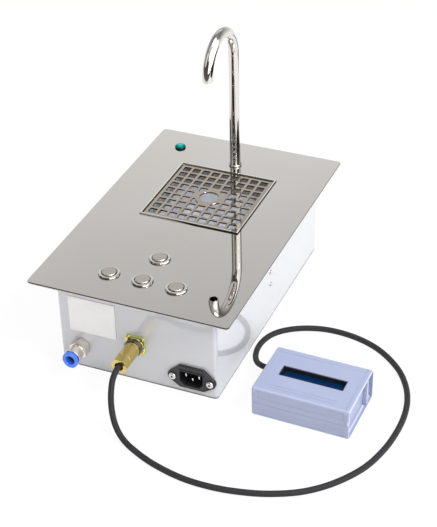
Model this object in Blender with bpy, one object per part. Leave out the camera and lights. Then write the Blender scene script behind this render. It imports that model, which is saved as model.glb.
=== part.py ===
"""Countertop milk dispenser: mirror steel plate with gooseneck spout, drip tray and push
buttons over a white sheet housing that holds a hose pump, with a wired display case.

Metres, +Z up, +X to the right along the connector side, +Y towards the spout.
The origin is the centre of the housing's underside, on the surface it rests on.
"""
import math

import bmesh
import bpy
from mathutils import Matrix, Vector

MM = 0.001

# Clearances
GAP = 0.3 * MM
OVERRUN = 5.0 * MM
SMOOTH_ANGLE = math.radians(35)
ROUND_SIDES = 24
SMALL_SIDES = 12
HEX_SIDES = 6
NUT_SPAN_STEPS = 4
ROUND_CORNER_STEPS = 4
BEVEL_ANGLE = math.radians(50)
MERGE_DISTANCE = GAP / 100
NEARLY_ALONG_SHARE = 0.9
SCREW_CROWN_SHARE = 0.7

# Plate and housing
TOP_HEIGHT = 106.3 * MM
PLATE_WIDTH = 213.0 * MM
PLATE_DEPTH = 325.5 * MM
PLATE_THICKNESS = 1.5 * MM
PLATE_CORNER = 3.0 * MM
SIDE_OVERHANG = 21.0 * MM
END_OVERHANG = 19.2 * MM
MIDDLE_SHIFT = 0.5 * MM
SHEET = 1.2 * MM
HOUSING_CORNER = 4.0 * MM
FLANGE_INSET = 0.8 * MM
BOTTOM_LIP = 12.0 * MM
COVER_THICKNESS = 1.5 * MM
SEAL_THICKNESS = 1.0 * MM
SEAL_INSET = 1.5 * MM
COVER_SCREW_RADIUS = 1.5 * MM
COVER_SCREW_LENGTH = 8.0 * MM

# Drip tray and grille
TRAY_OPENING_X = 111.2 * MM
TRAY_OPENING_Y = 111.6 * MM
TRAY_LEDGE = 2.5 * MM
TRAY_FLANGE = 3.0 * MM
TRAY_DEPTH = 26.0 * MM
TRAY_WALL = 1.0 * MM
TRAY_CORNER = 3.0 * MM
GRILLE_CLEARANCE = 0.9 * MM
GRILLE_THICKNESS = 1.5 * MM
GRILLE_EDGE = 0.5 * MM
GRILLE_PITCH = 11.2 * MM
GRILLE_CELL = 8.2 * MM
GRILLE_CELLS = 9
GRILLE_DISC_RADIUS = 15.0 * MM
GRILLE_HOLE_RADIUS = 10.2 * MM

# Spout
SPOUT_FROM_BACK = 46.35 * MM
SPOUT_TO_TRAY = 72.65 * MM
SPOUT_RADIUS = 5.5 * MM
SPOUT_BORE = 4.6 * MM
SPOUT_BEND = 34.5 * MM
SPOUT_RISE = 136.7 * MM
SPOUT_MOUTH_DROP = 2.0 * MM
SPOUT_TAIL = 38.0 * MM
SPOUT_BEND_STEPS = 12
SPOUT_SIDES = 16
RING_WALL = 1.2 * MM
RING_HEIGHT = 1.8 * MM
BUSH_FLANGE_RADIUS = 10.5 * MM
BUSH_FLANGE_THICKNESS = 2.5 * MM
BUSH_RADIUS = 8.5 * MM
BUSH_LENGTH = 20.0 * MM
SPOUT_NUT_FLATS = 21.0 * MM
SPOUT_NUT_THICKNESS = 6.0 * MM

# Push buttons
BUTTON_PITCH = 36.0 * MM
BUTTON_FROM_FRONT = 41.2 * MM
BUTTON_ROW_PITCH = 40.7 * MM
BUTTON_FLANGE_RADIUS = 11.0 * MM
BUTTON_FLANGE_RIM = 0.6 * MM
BUTTON_FLANGE_HEIGHT = 1.6 * MM
BUTTON_BARREL = 9.4 * MM
BUTTON_BARREL_LENGTH = 20.0 * MM
BUTTON_LIP = 0.6 * MM
BUTTON_WELL = 8.0 * MM
CAP_RADIUS = 7.4 * MM
CAP_PROUD = 1.3 * MM
CAP_CHAMFER = 0.5 * MM
CAP_SKIRT = 3.0 * MM
CAP_STEM_RADIUS = 2.4 * MM
CAP_STEM = 2.9 * MM
SPRING_RADIUS = 4.6 * MM
SPRING_WIRE = 0.35 * MM
SPRING_TURNS = 3
SPRING_TURN_POINTS = 8
BUTTON_NUT_FLATS = 22.0 * MM
BUTTON_NUT_THICKNESS = 4.0 * MM

# Indicator lamp
LAMP_FROM_SIDE = 34.6 * MM
LAMP_FROM_BACK = 32.8 * MM
LAMP_RADIUS = 6.0 * MM
LAMP_RIM = 0.8 * MM
LAMP_DOME = 3.4 * MM
LAMP_STEM_RADIUS = 4.0 * MM
LAMP_STEM = 14.0 * MM
LAMP_NUT_FLATS = 12.0 * MM
LAMP_NUT_THICKNESS = 3.0 * MM
DOME_STEPS = 5

# Label on the front wall
LABEL_WIDTH = 51.2 * MM
LABEL_HEIGHT = 41.2 * MM
LABEL_THICKNESS = 0.2 * MM
LABEL_ACROSS_SHARE = 0.53
LABEL_RISE_SHARE = 0.31

# Push-in tube fitting
FITTING_FROM_SIDE = 24.0 * MM
FITTING_Z = 26.5 * MM
FITTING_HEX_FLATS = 17.3 * MM
FITTING_HEX = 10.0 * MM
FITTING_NECK_RADIUS = 7.6 * MM
FITTING_NECK = 9.7 * MM
FITTING_LIP_RADIUS = 8.8 * MM
FITTING_LIP = 2.6 * MM
FITTING_SHANK_RADIUS = 6.5 * MM
FITTING_SHANK = 14.0 * MM
FITTING_NOZZLE = 9.0 * MM
FITTING_BORE = 2.2 * MM
COLLAR_SOCKET_DEPTH = 17.0 * MM
COLLAR_TRAVEL = 1.2 * MM
COLLAR_HEAD = 3.0 * MM
COLLAR_HALF_WIDTH = 8.4 * MM
COLLAR_HALF_HEIGHT = 9.1 * MM
COLLAR_SLEEVE_RADIUS = 6.3 * MM
COLLAR_SLEEVE = 9.0 * MM
COLLAR_BORE = 5.05 * MM
LOCKNUT_FLATS = 17.0 * MM
LOCKNUT_THICKNESS = 5.0 * MM

# Round cable connector
PLUG_Z = 45.1 * MM
SOCKET_WIDTH = 21.0 * MM
SOCKET_CORNER = 3.0 * MM
SOCKET_THICKNESS = 2.0 * MM
SOCKET_HOLE_PITCH = 15.6 * MM
SOCKET_SCREW_RADIUS = 1.3 * MM
SOCKET_SCREW_HEAD = 2.1 * MM
SOCKET_SCREW_HEIGHT = 1.2 * MM
SOCKET_SCREW_LENGTH = 7.0 * MM
SOCKET_BARREL_RADIUS = 7.4 * MM
SOCKET_BARREL = 8.2 * MM
SOCKET_REAR_RADIUS = 7.0 * MM
SOCKET_REAR = 13.0 * MM
RING_OUTER = 9.5 * MM
RING_LENGTH = 4.8 * MM
SHELL_RADIUS = 8.1 * MM
SHELL_LENGTH = 30.0 * MM
SHELL_BORE = 4.6 * MM
SHELL_BORE_DEPTH = 10.0 * MM
SHELL_END_FLATS = 16.6 * MM
SHELL_END = 3.0 * MM
SHELL_FLAT_WIDTH = 14.6 * MM
SHELL_FLAT_START = 5.0 * MM
SHELL_FLAT_LENGTH = 9.0 * MM

# Mains inlet
INLET_FROM_SIDE = 26.0 * MM
INLET_Z = 19.7 * MM
INLET_FLANGE = 3.0 * MM
INLET_HALF_WIDTH = 25.8 * MM
INLET_ABOVE = 14.2 * MM
INLET_BELOW = 12.1 * MM
INLET_TOP_HALF = 13.0 * MM
INLET_EAR_RADIUS = 6.4 * MM
INLET_EAR_TURN = math.radians(60)
INLET_EAR_STEPS = 6
INLET_SCREW_PITCH = 40.0 * MM
INLET_BODY_WIDTH = 28.0 * MM
INLET_BODY_HEIGHT = 20.0 * MM
INLET_BODY_DEPTH = 16.0 * MM
INLET_CAVITY_WIDTH = 24.6 * MM
INLET_CAVITY_HEIGHT = 16.4 * MM
INLET_CAVITY_CHAMFER = 4.5 * MM
INLET_CAVITY_DEPTH = 15.0 * MM
PIN_SPREAD = 7.0 * MM
PIN_RAISE = 2.0 * MM
PIN_WIDTH = 2.0 * MM
PIN_HEIGHT = 4.0 * MM
PIN_LENGTH = 12.0 * MM
INLET_SCREW_RADIUS = 1.6 * MM
INLET_SCREW_HEAD = 3.8 * MM
INLET_SCREW_HEIGHT = 2.2 * MM
INLET_SCREW_LENGTH = 9.0 * MM

# Hose pump, held by a bracket that two rivets fix to the right wall
PUMP_FROM_SIDE = 32.5 * MM
BRACKET_SHEET = 1.5 * MM
BRACKET_FROM_RIVETS = 12.0 * MM
BRACKET_LEG = 22.0 * MM
BRACKET_HALF_HEIGHT = 26.0 * MM
RIVET_Y = 2.5 * MM
RIVET_RISE = 9.5 * MM
RIVET_PITCH = 15.2 * MM
RIVET_RADIUS = 1.5 * MM
RIVET_HEAD = 2.6 * MM
RIVET_HEAD_HEIGHT = 0.9 * MM
HEAD_SIZE = 54.0 * MM
HEAD_DEPTH = 18.0 * MM
HEAD_FLOOR = 3.0 * MM
TRACK_RADIUS = 22.0 * MM
TUBE_THICKNESS = 3.4 * MM
TUBE_WIDTH = 9.0 * MM
TUBE_BORE_SHARE = 0.5
TUBE_TAIL = 6.0 * MM
TUBE_ARC_STEPS = 12
ROLLER_RADIUS = 5.0 * MM
ROLLER_PIN = 1.6 * MM
ROLLER_LENGTH = 10.0 * MM
ROLLERS = 3
ROTOR_RIM = 3.2 * MM
ROTOR_DISC = 2.0 * MM
ROTOR_SHAFT = 2.5 * MM
MOTOR_RADIUS = 16.0 * MM
MOTOR_LENGTH = 48.0 * MM
MOTOR_BOSS_RADIUS = 6.0 * MM
JOINER_RADIUS = 5.6 * MM
JOINER_LENGTH = 7.0 * MM
JOINER_NOZZLE = 8.0 * MM

# Hoses
INLET_HOSE_RADIUS = 5.0 * MM
INLET_HOSE_BORE = 3.5 * MM
OUTLET_HOSE_WALL = 1.5 * MM
HOSE_SIDES = 10
HOSE_STEPS = 2
INLET_ROUTE_SHARES = ((0.12, 0.45), (0.4, 0.78))
OUTLET_ROUTE_SHARES = ((1.1, 0.07, 0.89), (1.6, 0.25, 0.83), (1.2, 0.5, 0.74),
                       (0.4, 0.78, 0.65), (0.0, 0.93, 0.72))

# Power supply and control board
SUPPLY_FROM_SIDE = 14.0 * MM
SUPPLY_FROM_BRACKET = 2.0 * MM
SUPPLY_WIDTH = 50.0 * MM
SUPPLY_DEPTH = 100.0 * MM
SUPPLY_HEIGHT = 32.0 * MM
SUPPLY_TERMINAL = 12.0 * MM
TERMINAL_HEIGHT_SHARE = 0.4
BOARD_FROM_SIDE = 16.0 * MM
BOARD_FROM_FRONT = 32.0 * MM
BOARD_RISE = 8.2 * MM
BOARD_SIZE = 66.0 * MM
BOARD_THICKNESS = 1.6 * MM
BOARD_INSET = 5.0 * MM
STANDOFF_RADIUS = 3.0 * MM
BOARD_PART_HEIGHT = 9.0 * MM
BOARD_PART_SHARES = ((-0.5, -0.3, 0.4, 0.3), (0.35, -0.35, 0.3, 0.4), (0.3, 0.4, 0.4, 0.25))

# Display case, lying beside the housing
CASE_FROM_PLATE = 18.2 * MM
CASE_FROM_FRONT = 25.8 * MM
CASE_TURN = math.radians(-1.0)
CASE_WIDTH = 100.7 * MM
CASE_DEPTH = 70.1 * MM
CASE_HEIGHT = 33.8 * MM
CASE_WALL = 2.6 * MM
CASE_CORNER = 2.5 * MM
CASE_CORNER_STEPS = 2
CASE_SEAM = 15.8 * MM
CASE_PANEL_RECESS = 0.5 * MM
CASE_PANEL_INSET = 6.2 * MM
CASE_UPPER_PANEL = 9.5 * MM
CASE_LOWER_PANEL = 8.0 * MM
CASE_PANEL_EDGE = 2.2 * MM
END_RECESS = 4.8 * MM
END_THICKNESS = 2.4 * MM
WINDOW_MARGIN = 17.2 * MM
WINDOW_DEPTH = 15.6 * MM
WINDOW_Y = 0.5 * MM
WINDOW_SUNK = 0.5 * MM
LCD_DEPTH = 4.9 * MM
LCD_FRAME_WALL = 0.8 * MM
LCD_BODY_MARGIN = 2.9 * MM
LCD_BODY_DEPTH = 26.0 * MM
LCD_BODY_HEIGHT = 6.0 * MM
LCD_PAD = 2.0 * MM
CABLE_ENTRY_Y = 18.2 * MM
CABLE_ENTRY_Z = 17.0 * MM
GROMMET_RADIUS = 5.2 * MM
GROMMET_LIP = 1.0 * MM

# Cable from the connector to the display case; its points are chosen by hand
CABLE_RADIUS = 3.0 * MM
CABLE_POINTS = (
    (-0.5, -172.7, 45.1), (-0.5, -180.5, 45.1), (-0.6, -189.0, 44.3), (0.3, -199.0, 40.0),
    (3.4, -209.5, 31.0), (8.2, -218.5, 21.0), (15.5, -227.0, 12.0), (26.0, -235.0, 6.0),
    (41.0, -243.0, 3.4), (67.0, -254.2, 3.2), (99.5, -262.0, 3.2), (130.3, -262.9, 3.2),
    (158.8, -258.7, 3.2), (184.0, -251.0, 3.2), (209.7, -237.5, 3.2), (232.0, -216.6, 3.2),
    (250.5, -188.0, 3.2), (260.3, -157.0, 3.2), (264.0, -128.0, 3.2), (263.8, -103.0, 3.2),
    (260.0, -80.8, 3.2), (252.3, -60.2, 3.2), (240.0, -40.5, 3.2), (223.6, -24.0, 3.2),
    (206.0, -12.0, 3.2), (185.9, -4.2, 3.2), (164.3, -0.8, 3.2), (144.1, -2.0, 3.2),
    (124.6, -8.3, 3.2), (108.4, -18.7, 3.2), (98.6, -31.0, 3.2), (94.2, -45.0, 3.2),
    (94.3, -59.0, 3.8), (98.0, -73.0, 6.0), (104.8, -86.0, 10.2), (112.6, -94.6, 14.6),
    (120.5, -98.4, 16.8), (128.2, -98.7, 17.0),
)
CABLE_STEPS = 2
CABLE_ROUNDNESS = 2

# Places that follow from the sizes above
HALF_PLATE_X = PLATE_WIDTH / 2
HALF_PLATE_Y = PLATE_DEPTH / 2
HALF_X = HALF_PLATE_X - SIDE_OVERHANG
HALF_Y = HALF_PLATE_Y - END_OVERHANG
FRONT = -HALF_Y
PLATE_UNDER = TOP_HEIGHT - PLATE_THICKNESS
HOUSING_TOP = PLATE_UNDER - GAP
FLANGE_UNDER = HOUSING_TOP - SHEET
HOUSING_BOTTOM = COVER_THICKNESS + GAP
FLOOR_TOP = COVER_THICKNESS + GAP
FRONT_INSIDE = FRONT + SHEET
TRAY_UNDER = TOP_HEIGHT - TRAY_DEPTH - TRAY_WALL
SPOUT_Y = HALF_PLATE_Y - SPOUT_FROM_BACK
MIDDLE_X = -MIDDLE_SHIFT
TRAY_Y = SPOUT_Y - SPOUT_TO_TRAY
LAMP_X = LAMP_FROM_SIDE - HALF_PLATE_X
LAMP_Y = HALF_PLATE_Y - LAMP_FROM_BACK
BUTTON_ROW_Y = BUTTON_FROM_FRONT - HALF_PLATE_Y
BUTTON_BACK_Y = BUTTON_ROW_Y + BUTTON_ROW_PITCH
BUTTON_PLACES = (
    (MIDDLE_X - BUTTON_PITCH, BUTTON_ROW_Y), (MIDDLE_X, BUTTON_ROW_Y),
    (MIDDLE_X + BUTTON_PITCH, BUTTON_ROW_Y), (MIDDLE_X, BUTTON_BACK_Y),
)
FITTING_X = FITTING_FROM_SIDE - HALF_X
INLET_X = HALF_X - INLET_FROM_SIDE
SEAL_UNDER = FLANGE_UNDER - GAP - SEAL_THICKNESS
LABEL_ROOM_X = HALF_X + MIDDLE_X - SOCKET_WIDTH / 2 - LABEL_WIDTH
LABEL_LEFT = LABEL_ROOM_X * LABEL_ACROSS_SHARE - HALF_X
FITTING_TOP = FITTING_Z + FITTING_HEX_FLATS / 2 / math.cos(math.pi / HEX_SIDES)
LABEL_ROOM_Z = SEAL_UNDER - FITTING_TOP - LABEL_HEIGHT
LABEL_BOTTOM = FITTING_TOP + LABEL_ROOM_Z * LABEL_RISE_SHARE
PLATE_TOP_SEAT = TOP_HEIGHT + GAP
FRONT_SEAT = FRONT - GAP
TRACK_MIDDLE = TRACK_RADIUS - GAP - TUBE_THICKNESS / 2
ROLLER_ORBIT = TRACK_RADIUS - TUBE_THICKNESS - ROLLER_RADIUS - 3 * GAP
PUMP_X = HALF_X - PUMP_FROM_SIDE
PUMP_Z = (FLOOR_TOP + TRAY_UNDER) / 2
BRACKET_Y = RIVET_Y + BRACKET_FROM_RIVETS
RIVET_Z = PUMP_Z + RIVET_RISE
SUPPLY_X = SUPPLY_FROM_SIDE + SUPPLY_WIDTH / 2 - HALF_X
SUPPLY_Y = BRACKET_Y - SUPPLY_FROM_BRACKET + SUPPLY_DEPTH / 2
BOARD_X = HALF_X - BOARD_FROM_SIDE - BOARD_SIZE / 2
BOARD_Y = FRONT + BOARD_FROM_FRONT + BOARD_SIZE / 2
BOARD_Z = FLOOR_TOP + BOARD_RISE
CASE_X = HALF_PLATE_X + CASE_FROM_PLATE + CASE_WIDTH / 2
CASE_Y = FRONT + CASE_FROM_FRONT
WINDOW_WIDTH = CASE_WIDTH - 2 * WINDOW_MARGIN
LCD_BODY_WIDTH = WINDOW_WIDTH + 2 * LCD_BODY_MARGIN
HEAD_BACK = BRACKET_Y - GAP
HEAD_FRONT = HEAD_BACK - HEAD_DEPTH
ROTOR_BACK = HEAD_BACK - HEAD_FLOOR - GAP
ROLLER_BACK = ROTOR_BACK - ROTOR_DISC - GAP
TUBE_Y = ROLLER_BACK - ROLLER_LENGTH / 2
JOINER_X = PUMP_X - HEAD_SIZE / 2 - TUBE_TAIL - GAP


def clear_scene():
    for item in list(bpy.data.objects):
        bpy.data.objects.remove(item, do_unlink=True)


def paint(name, colour, roughness, metallic=0.0):
    material = bpy.data.materials.new(name)
    material.use_nodes = True
    shader = material.node_tree.nodes["Principled BSDF"]
    shader.inputs["Base Color"].default_value = (*colour, 1.0)
    shader.inputs["Roughness"].default_value = roughness
    shader.inputs["Metallic"].default_value = metallic
    return material


def make(name, bm, material=None, place=(0.0, 0.0, 0.0), turn=(0.0, 0.0, 0.0)):
    """Turn a bmesh into a named object; with no material it is a hidden cutter."""
    bmesh.ops.recalc_face_normals(bm, faces=bm.faces)
    mesh = bpy.data.meshes.new(name)
    bm.to_mesh(mesh)
    bm.free()
    mesh.shade_smooth()
    mesh.set_sharp_from_angle(angle=SMOOTH_ANGLE)
    item = bpy.data.objects.new(name, mesh)
    bpy.context.collection.objects.link(item)
    item.location = place
    item.rotation_euler = turn
    if material is None:
        item.hide_render = True
        item.display_type = "WIRE"
    else:
        mesh.materials.append(material)
    return item


def boolean(item, other, operation="DIFFERENCE"):
    modifier = item.modifiers.new(other.name, "BOOLEAN")
    modifier.operation = operation
    modifier.solver = "EXACT"
    modifier.object = other


def soften(item, width, segments):
    modifier = item.modifiers.new("edge", "BEVEL")
    modifier.width = width
    modifier.segments = segments
    modifier.limit_method = "ANGLE"
    modifier.angle_limit = BEVEL_ANGLE


def block(low, high):
    """A cuboid between two corners."""
    low, high = Vector(low), Vector(high)
    bm = bmesh.new()
    size = high - low
    shift = Matrix.Translation((low + high) / 2) @ Matrix.Diagonal((*size, 1.0))
    bmesh.ops.create_cube(bm, size=1.0, matrix=shift)
    return bm


def rounded(width, depth, radius):
    """Outline of a rectangle with round corners, centred on the origin."""
    points = []
    for quarter in range(4):
        across = width / 2 - radius
        along = depth / 2 - radius
        cx = across if quarter in (0, 3) else -across
        cy = along if quarter in (0, 1) else -along
        for step in range(ROUND_CORNER_STEPS + 1):
            angle = (quarter + step / ROUND_CORNER_STEPS) * math.pi / 2
            points.append((cx + radius * math.cos(angle), cy + radius * math.sin(angle)))
    return points


def polygon(sides, radius, stretch=1.0):
    """Outline of a regular polygon, or of an ellipse when it is stretched."""
    angles = [2 * math.pi * step / sides for step in range(sides)]
    return [(radius * math.cos(a), radius * stretch * math.sin(a)) for a in angles]


def prism(outline, low, high):
    """A flat outline raised from one height to another."""
    bm = bmesh.new()
    face = bm.faces.new([bm.verts.new((x, y, low)) for x, y in outline])
    raised = bmesh.ops.extrude_face_region(bm, geom=[face])["geom"]
    corners = [item for item in raised if isinstance(item, bmesh.types.BMVert)]
    bmesh.ops.translate(bm, verts=corners, vec=(0.0, 0.0, high - low))
    return bm


def disc(radius, low, high, sides=ROUND_SIDES):
    return prism(polygon(sides, radius), low, high)


def hexagon(flats, low, high):
    return prism(polygon(HEX_SIDES, flats / 2 / math.cos(math.pi / HEX_SIDES)), low, high)


def turned(profile, sides=ROUND_SIDES, closed=False):
    """Spin a profile of (radius, height) points round Z."""
    bm = bmesh.new()
    points = [bm.verts.new((radius, 0.0, height)) for radius, height in profile]
    pairs = list(zip(points, points[1:]))
    if closed:
        pairs.append((points[-1], points[0]))
    edges = [bm.edges.new(pair) for pair in pairs]
    bmesh.ops.spin(bm, geom=points + edges, cent=(0.0, 0.0, 0.0), axis=(0.0, 0.0, 1.0),
                   angle=2 * math.pi, steps=sides, use_merge=True)
    bmesh.ops.remove_doubles(bm, verts=bm.verts, dist=MERGE_DISTANCE)
    return bm


def ring(outer, inner, low, high, sides=ROUND_SIDES):
    return turned([(outer, high), (outer, low), (inner, low), (inner, high)], sides, closed=True)


def pipe(points, outer, inner, sides, flat=1.0):
    """A tube along a path; flat squeezes its section across the path's plane of travel."""
    bm = bmesh.new()
    path = [Vector(point) for point in points]
    side = Vector((0.0, 1.0, 0.0))
    if abs((path[1] - path[0]).normalized().dot(side)) > NEARLY_ALONG_SHARE:
        side = Vector((1.0, 0.0, 0.0))
    rings = []
    for index, point in enumerate(path):
        before = path[max(index - 1, 0)]
        after = path[min(index + 1, len(path) - 1)]
        travel = (after - before).normalized()
        side = (side - travel * side.dot(travel)).normalized()
        across = travel.cross(side)
        layers = []
        for radius in (outer, inner):
            angles = [2 * math.pi * step / sides for step in range(sides)]
            layers.append([bm.verts.new(point + side * radius * math.cos(a)
                                        + across * radius * flat * math.sin(a)) for a in angles])
        rings.append(layers)
    for step in range(sides):
        following = (step + 1) % sides
        for near, far in zip(rings, rings[1:]):
            for a, b in zip(near, far):
                bm.faces.new((a[step], a[following], b[following], b[step]))
        for out, core in (rings[0], rings[-1]):
            bm.faces.new((out[step], out[following], core[following], core[step]))
    return bm


def smooth_path(points, steps):
    """Points of a smooth curve through the given ones."""
    path = [Vector(point) for point in points]
    path = [path[0] * 2 - path[1]] + path + [path[-1] * 2 - path[-2]]
    result = []
    for a, b, c, d in zip(path, path[1:], path[2:], path[3:]):
        for step in range(steps):
            t = step / steps
            result.append((b * 2 + (c - a) * t + (a * 2 - b * 5 + c * 4 - d) * t ** 2
                           + (b * 3 - a - c * 3 + d) * t ** 3) / 2)
    result.append(path[-2])
    return result


def outward(name, bm, material, x, z, y=FRONT_SEAT):
    """Place a piece whose own +Z points out of the front wall."""
    return make(name, bm, material, (x, y, z), (math.pi / 2, 0.0, 0.0))


# Sheet metal

def build_plate(steel):
    plate = make("top_plate", prism(rounded(PLATE_WIDTH, PLATE_DEPTH, PLATE_CORNER),
                                    PLATE_UNDER, TOP_HEIGHT), steel)
    below, above = PLATE_UNDER - OVERRUN, TOP_HEIGHT + OVERRUN
    opening = prism(rounded(TRAY_OPENING_X, TRAY_OPENING_Y, GRILLE_EDGE), below, above)
    boolean(plate, make("tray_opening", opening, place=(MIDDLE_X, TRAY_Y, 0.0)))
    for number, (x, y) in enumerate(BUTTON_PLACES, 1):
        hole = disc(BUTTON_BARREL + GAP, below, above)
        boolean(plate, make(f"button_{number}_hole", hole, place=(x, y, 0.0)))
    boolean(plate, make("spout_hole", disc(SPOUT_RADIUS + GAP, below, above),
                        place=(0.0, SPOUT_Y, 0.0)))
    boolean(plate, make("lamp_hole", disc(LAMP_STEM_RADIUS + GAP, below, above),
                        place=(LAMP_X, LAMP_Y, 0.0)))


def build_housing(white, pale_rubber):
    width, depth = 2 * HALF_X, 2 * HALF_Y
    housing = make("housing", prism(rounded(width, depth, HOUSING_CORNER),
                                    HOUSING_BOTTOM, HOUSING_TOP - SHEET / 2), white)
    flange_width = PLATE_WIDTH - 2 * FLANGE_INSET
    flange_depth = PLATE_DEPTH - 2 * FLANGE_INSET
    flange = prism(rounded(flange_width, flange_depth, PLATE_CORNER), FLANGE_UNDER, HOUSING_TOP)
    boolean(housing, make("housing_flange", flange), "UNION")
    inner = rounded(width - 2 * SHEET, depth - 2 * SHEET, HOUSING_CORNER - SHEET)
    boolean(housing, make("housing_inside", prism(inner, HOUSING_BOTTOM + SHEET,
                                                  TOP_HEIGHT + OVERRUN)))
    lip = rounded(width - 2 * BOTTOM_LIP, depth - 2 * BOTTOM_LIP, HOUSING_CORNER)
    boolean(housing, make("bottom_opening", prism(lip, -OVERRUN, HOUSING_BOTTOM + OVERRUN)))
    reach = SHEET + OVERRUN
    holes = (
        ("fitting_hole", disc(FITTING_SHANK_RADIUS + GAP, -reach, OVERRUN), FITTING_X, FITTING_Z),
        ("socket_hole", disc(SOCKET_REAR_RADIUS + GAP, -reach, OVERRUN), MIDDLE_X, PLUG_Z),
        ("inlet_hole", block((-INLET_BODY_WIDTH / 2 - GAP, -INLET_BODY_HEIGHT / 2 - GAP, -reach),
                             (INLET_BODY_WIDTH / 2 + GAP, INLET_BODY_HEIGHT / 2 + GAP, OVERRUN)),
         INLET_X, INLET_Z),
    )
    for name, hole, x, z in holes:
        boolean(housing, outward(name, hole, None, x, z))
    for name, x, z, radius in screw_places():
        boolean(housing, outward(f"{name}_hole", disc(radius + GAP, -reach, OVERRUN, SMALL_SIDES),
                                 None, x, z))
    for number, z in enumerate(rivet_heights(), 1):
        boolean(housing, make(f"rivet_hole_{number}", disc(RIVET_RADIUS + GAP, -OVERRUN, OVERRUN,
                                                           SMALL_SIDES),
                              place=(HALF_X, RIVET_Y, z), turn=(0.0, math.pi / 2, 0.0)))
    for number, (x, y) in enumerate(cover_screw_places(), 1):
        hole = disc(COVER_SCREW_RADIUS + GAP, -OVERRUN, HOUSING_BOTTOM + OVERRUN, SMALL_SIDES)
        boolean(housing, make(f"lip_hole_{number}", hole, place=(x, y, 0.0)))

    seal_outer = rounded(flange_width - 2 * SEAL_INSET, flange_depth - 2 * SEAL_INSET,
                         PLATE_CORNER)
    seal_top = FLANGE_UNDER - GAP
    seal = make("rim_seal", prism(seal_outer, seal_top - SEAL_THICKNESS, seal_top), pale_rubber)
    boolean(seal, make("seal_inside", prism(rounded(width + 2 * GAP, depth + 2 * GAP,
                                                    HOUSING_CORNER), HOUSING_BOTTOM,
                                            TOP_HEIGHT + OVERRUN)))


def rivet_heights():
    return RIVET_Z - RIVET_PITCH / 2, RIVET_Z + RIVET_PITCH / 2


def screw_places():
    """Screws in the front wall: name, place and shank radius."""
    places = []
    half = SOCKET_HOLE_PITCH / 2
    for number, (side, level) in enumerate(((-1, -1), (1, -1), (1, 1), (-1, 1)), 1):
        places.append((f"socket_screw_{number}", MIDDLE_X + side * half, PLUG_Z + level * half,
                       SOCKET_SCREW_RADIUS))
    for number, side in enumerate((-1, 1), 1):
        places.append((f"inlet_screw_{number}", INLET_X + side * INLET_SCREW_PITCH / 2, INLET_Z,
                       INLET_SCREW_RADIUS))
    return places


def cover_screw_places():
    x = HALF_X - BOTTOM_LIP / 2
    y = HALF_Y - BOTTOM_LIP / 2
    return [(side * x, end * y) for side in (-1, 1) for end in (-1, 1)]


def build_cover(white):
    """The flat underside, with the shanks of its flush screws."""
    cover = make("bottom_cover", prism(rounded(2 * HALF_X, 2 * HALF_Y, HOUSING_CORNER), 0.0,
                                       COVER_THICKNESS), white)
    for number, (x, y) in enumerate(cover_screw_places(), 1):
        shank = disc(COVER_SCREW_RADIUS, COVER_THICKNESS / 2, COVER_SCREW_LENGTH, SMALL_SIDES)
        boolean(cover, make(f"cover_screw_{number}", shank, place=(x, y, 0.0)), "UNION")


def add_copy(target, shape, matrix):
    """Join a shape to another bmesh at a place."""
    bmesh.ops.transform(shape, matrix=matrix, verts=shape.verts)
    mesh = bpy.data.meshes.new("copy")
    shape.to_mesh(mesh)
    shape.free()
    target.from_mesh(mesh)
    bpy.data.meshes.remove(mesh)


# Drip tray and grille

def build_tray(steel):
    inner_x = TRAY_OPENING_X - 2 * TRAY_LEDGE
    inner_y = TRAY_OPENING_Y - 2 * TRAY_LEDGE
    top = PLATE_UNDER - GAP
    bottom = TRAY_UNDER + TRAY_WALL
    spread = 2 * (TRAY_LEDGE + TRAY_FLANGE)
    place = (MIDDLE_X, TRAY_Y, 0.0)
    tray = make("drip_tray", prism(rounded(inner_x + spread, inner_y + spread, TRAY_CORNER),
                                   top - TRAY_WALL, top), steel, place)
    pan = prism(rounded(inner_x + 2 * TRAY_WALL, inner_y + 2 * TRAY_WALL,
                        TRAY_CORNER + TRAY_WALL), TRAY_UNDER, top - TRAY_WALL / 2)
    boolean(tray, make("tray_pan", pan, place=place), "UNION")
    boolean(tray, make("tray_inside", prism(rounded(inner_x, inner_y, TRAY_CORNER), bottom,
                                            TOP_HEIGHT + OVERRUN), place=place))


def build_grille(steel):
    low = PLATE_UNDER
    high = low + GRILLE_THICKNESS
    width = TRAY_OPENING_X - 2 * GRILLE_CLEARANCE
    depth = TRAY_OPENING_Y - 2 * GRILLE_CLEARANCE
    place = (MIDDLE_X, TRAY_Y, 0.0)
    sheet = prism(rounded(width, depth, GRILLE_EDGE), low, high)
    grille = make("drip_grille", sheet, steel, place)
    middle = (GRILLE_CELLS - 1) / 2
    cells = bmesh.new()
    for column in range(GRILLE_CELLS):
        for row in range(GRILLE_CELLS):
            across, along = column - middle, row - middle
            if abs(across) + abs(along) <= 1:
                continue
            half = GRILLE_CELL / 2
            x, y = across * GRILLE_PITCH, along * GRILLE_PITCH
            cell = block((x - half, y - half, low - OVERRUN), (x + half, y + half, high + OVERRUN))
            add_copy(cells, cell, Matrix.Identity(4))
    cells = make("grille_cells", cells, place=place)
    kept_disc = disc(GRILLE_DISC_RADIUS, low - 2 * OVERRUN, high + 2 * OVERRUN)
    boolean(cells, make("grille_disc", kept_disc, place=place))
    boolean(grille, cells)
    boolean(grille, make("grille_hole", disc(GRILLE_HOLE_RADIUS, low - OVERRUN, high + OVERRUN),
                         place=place))


# Spout

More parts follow.
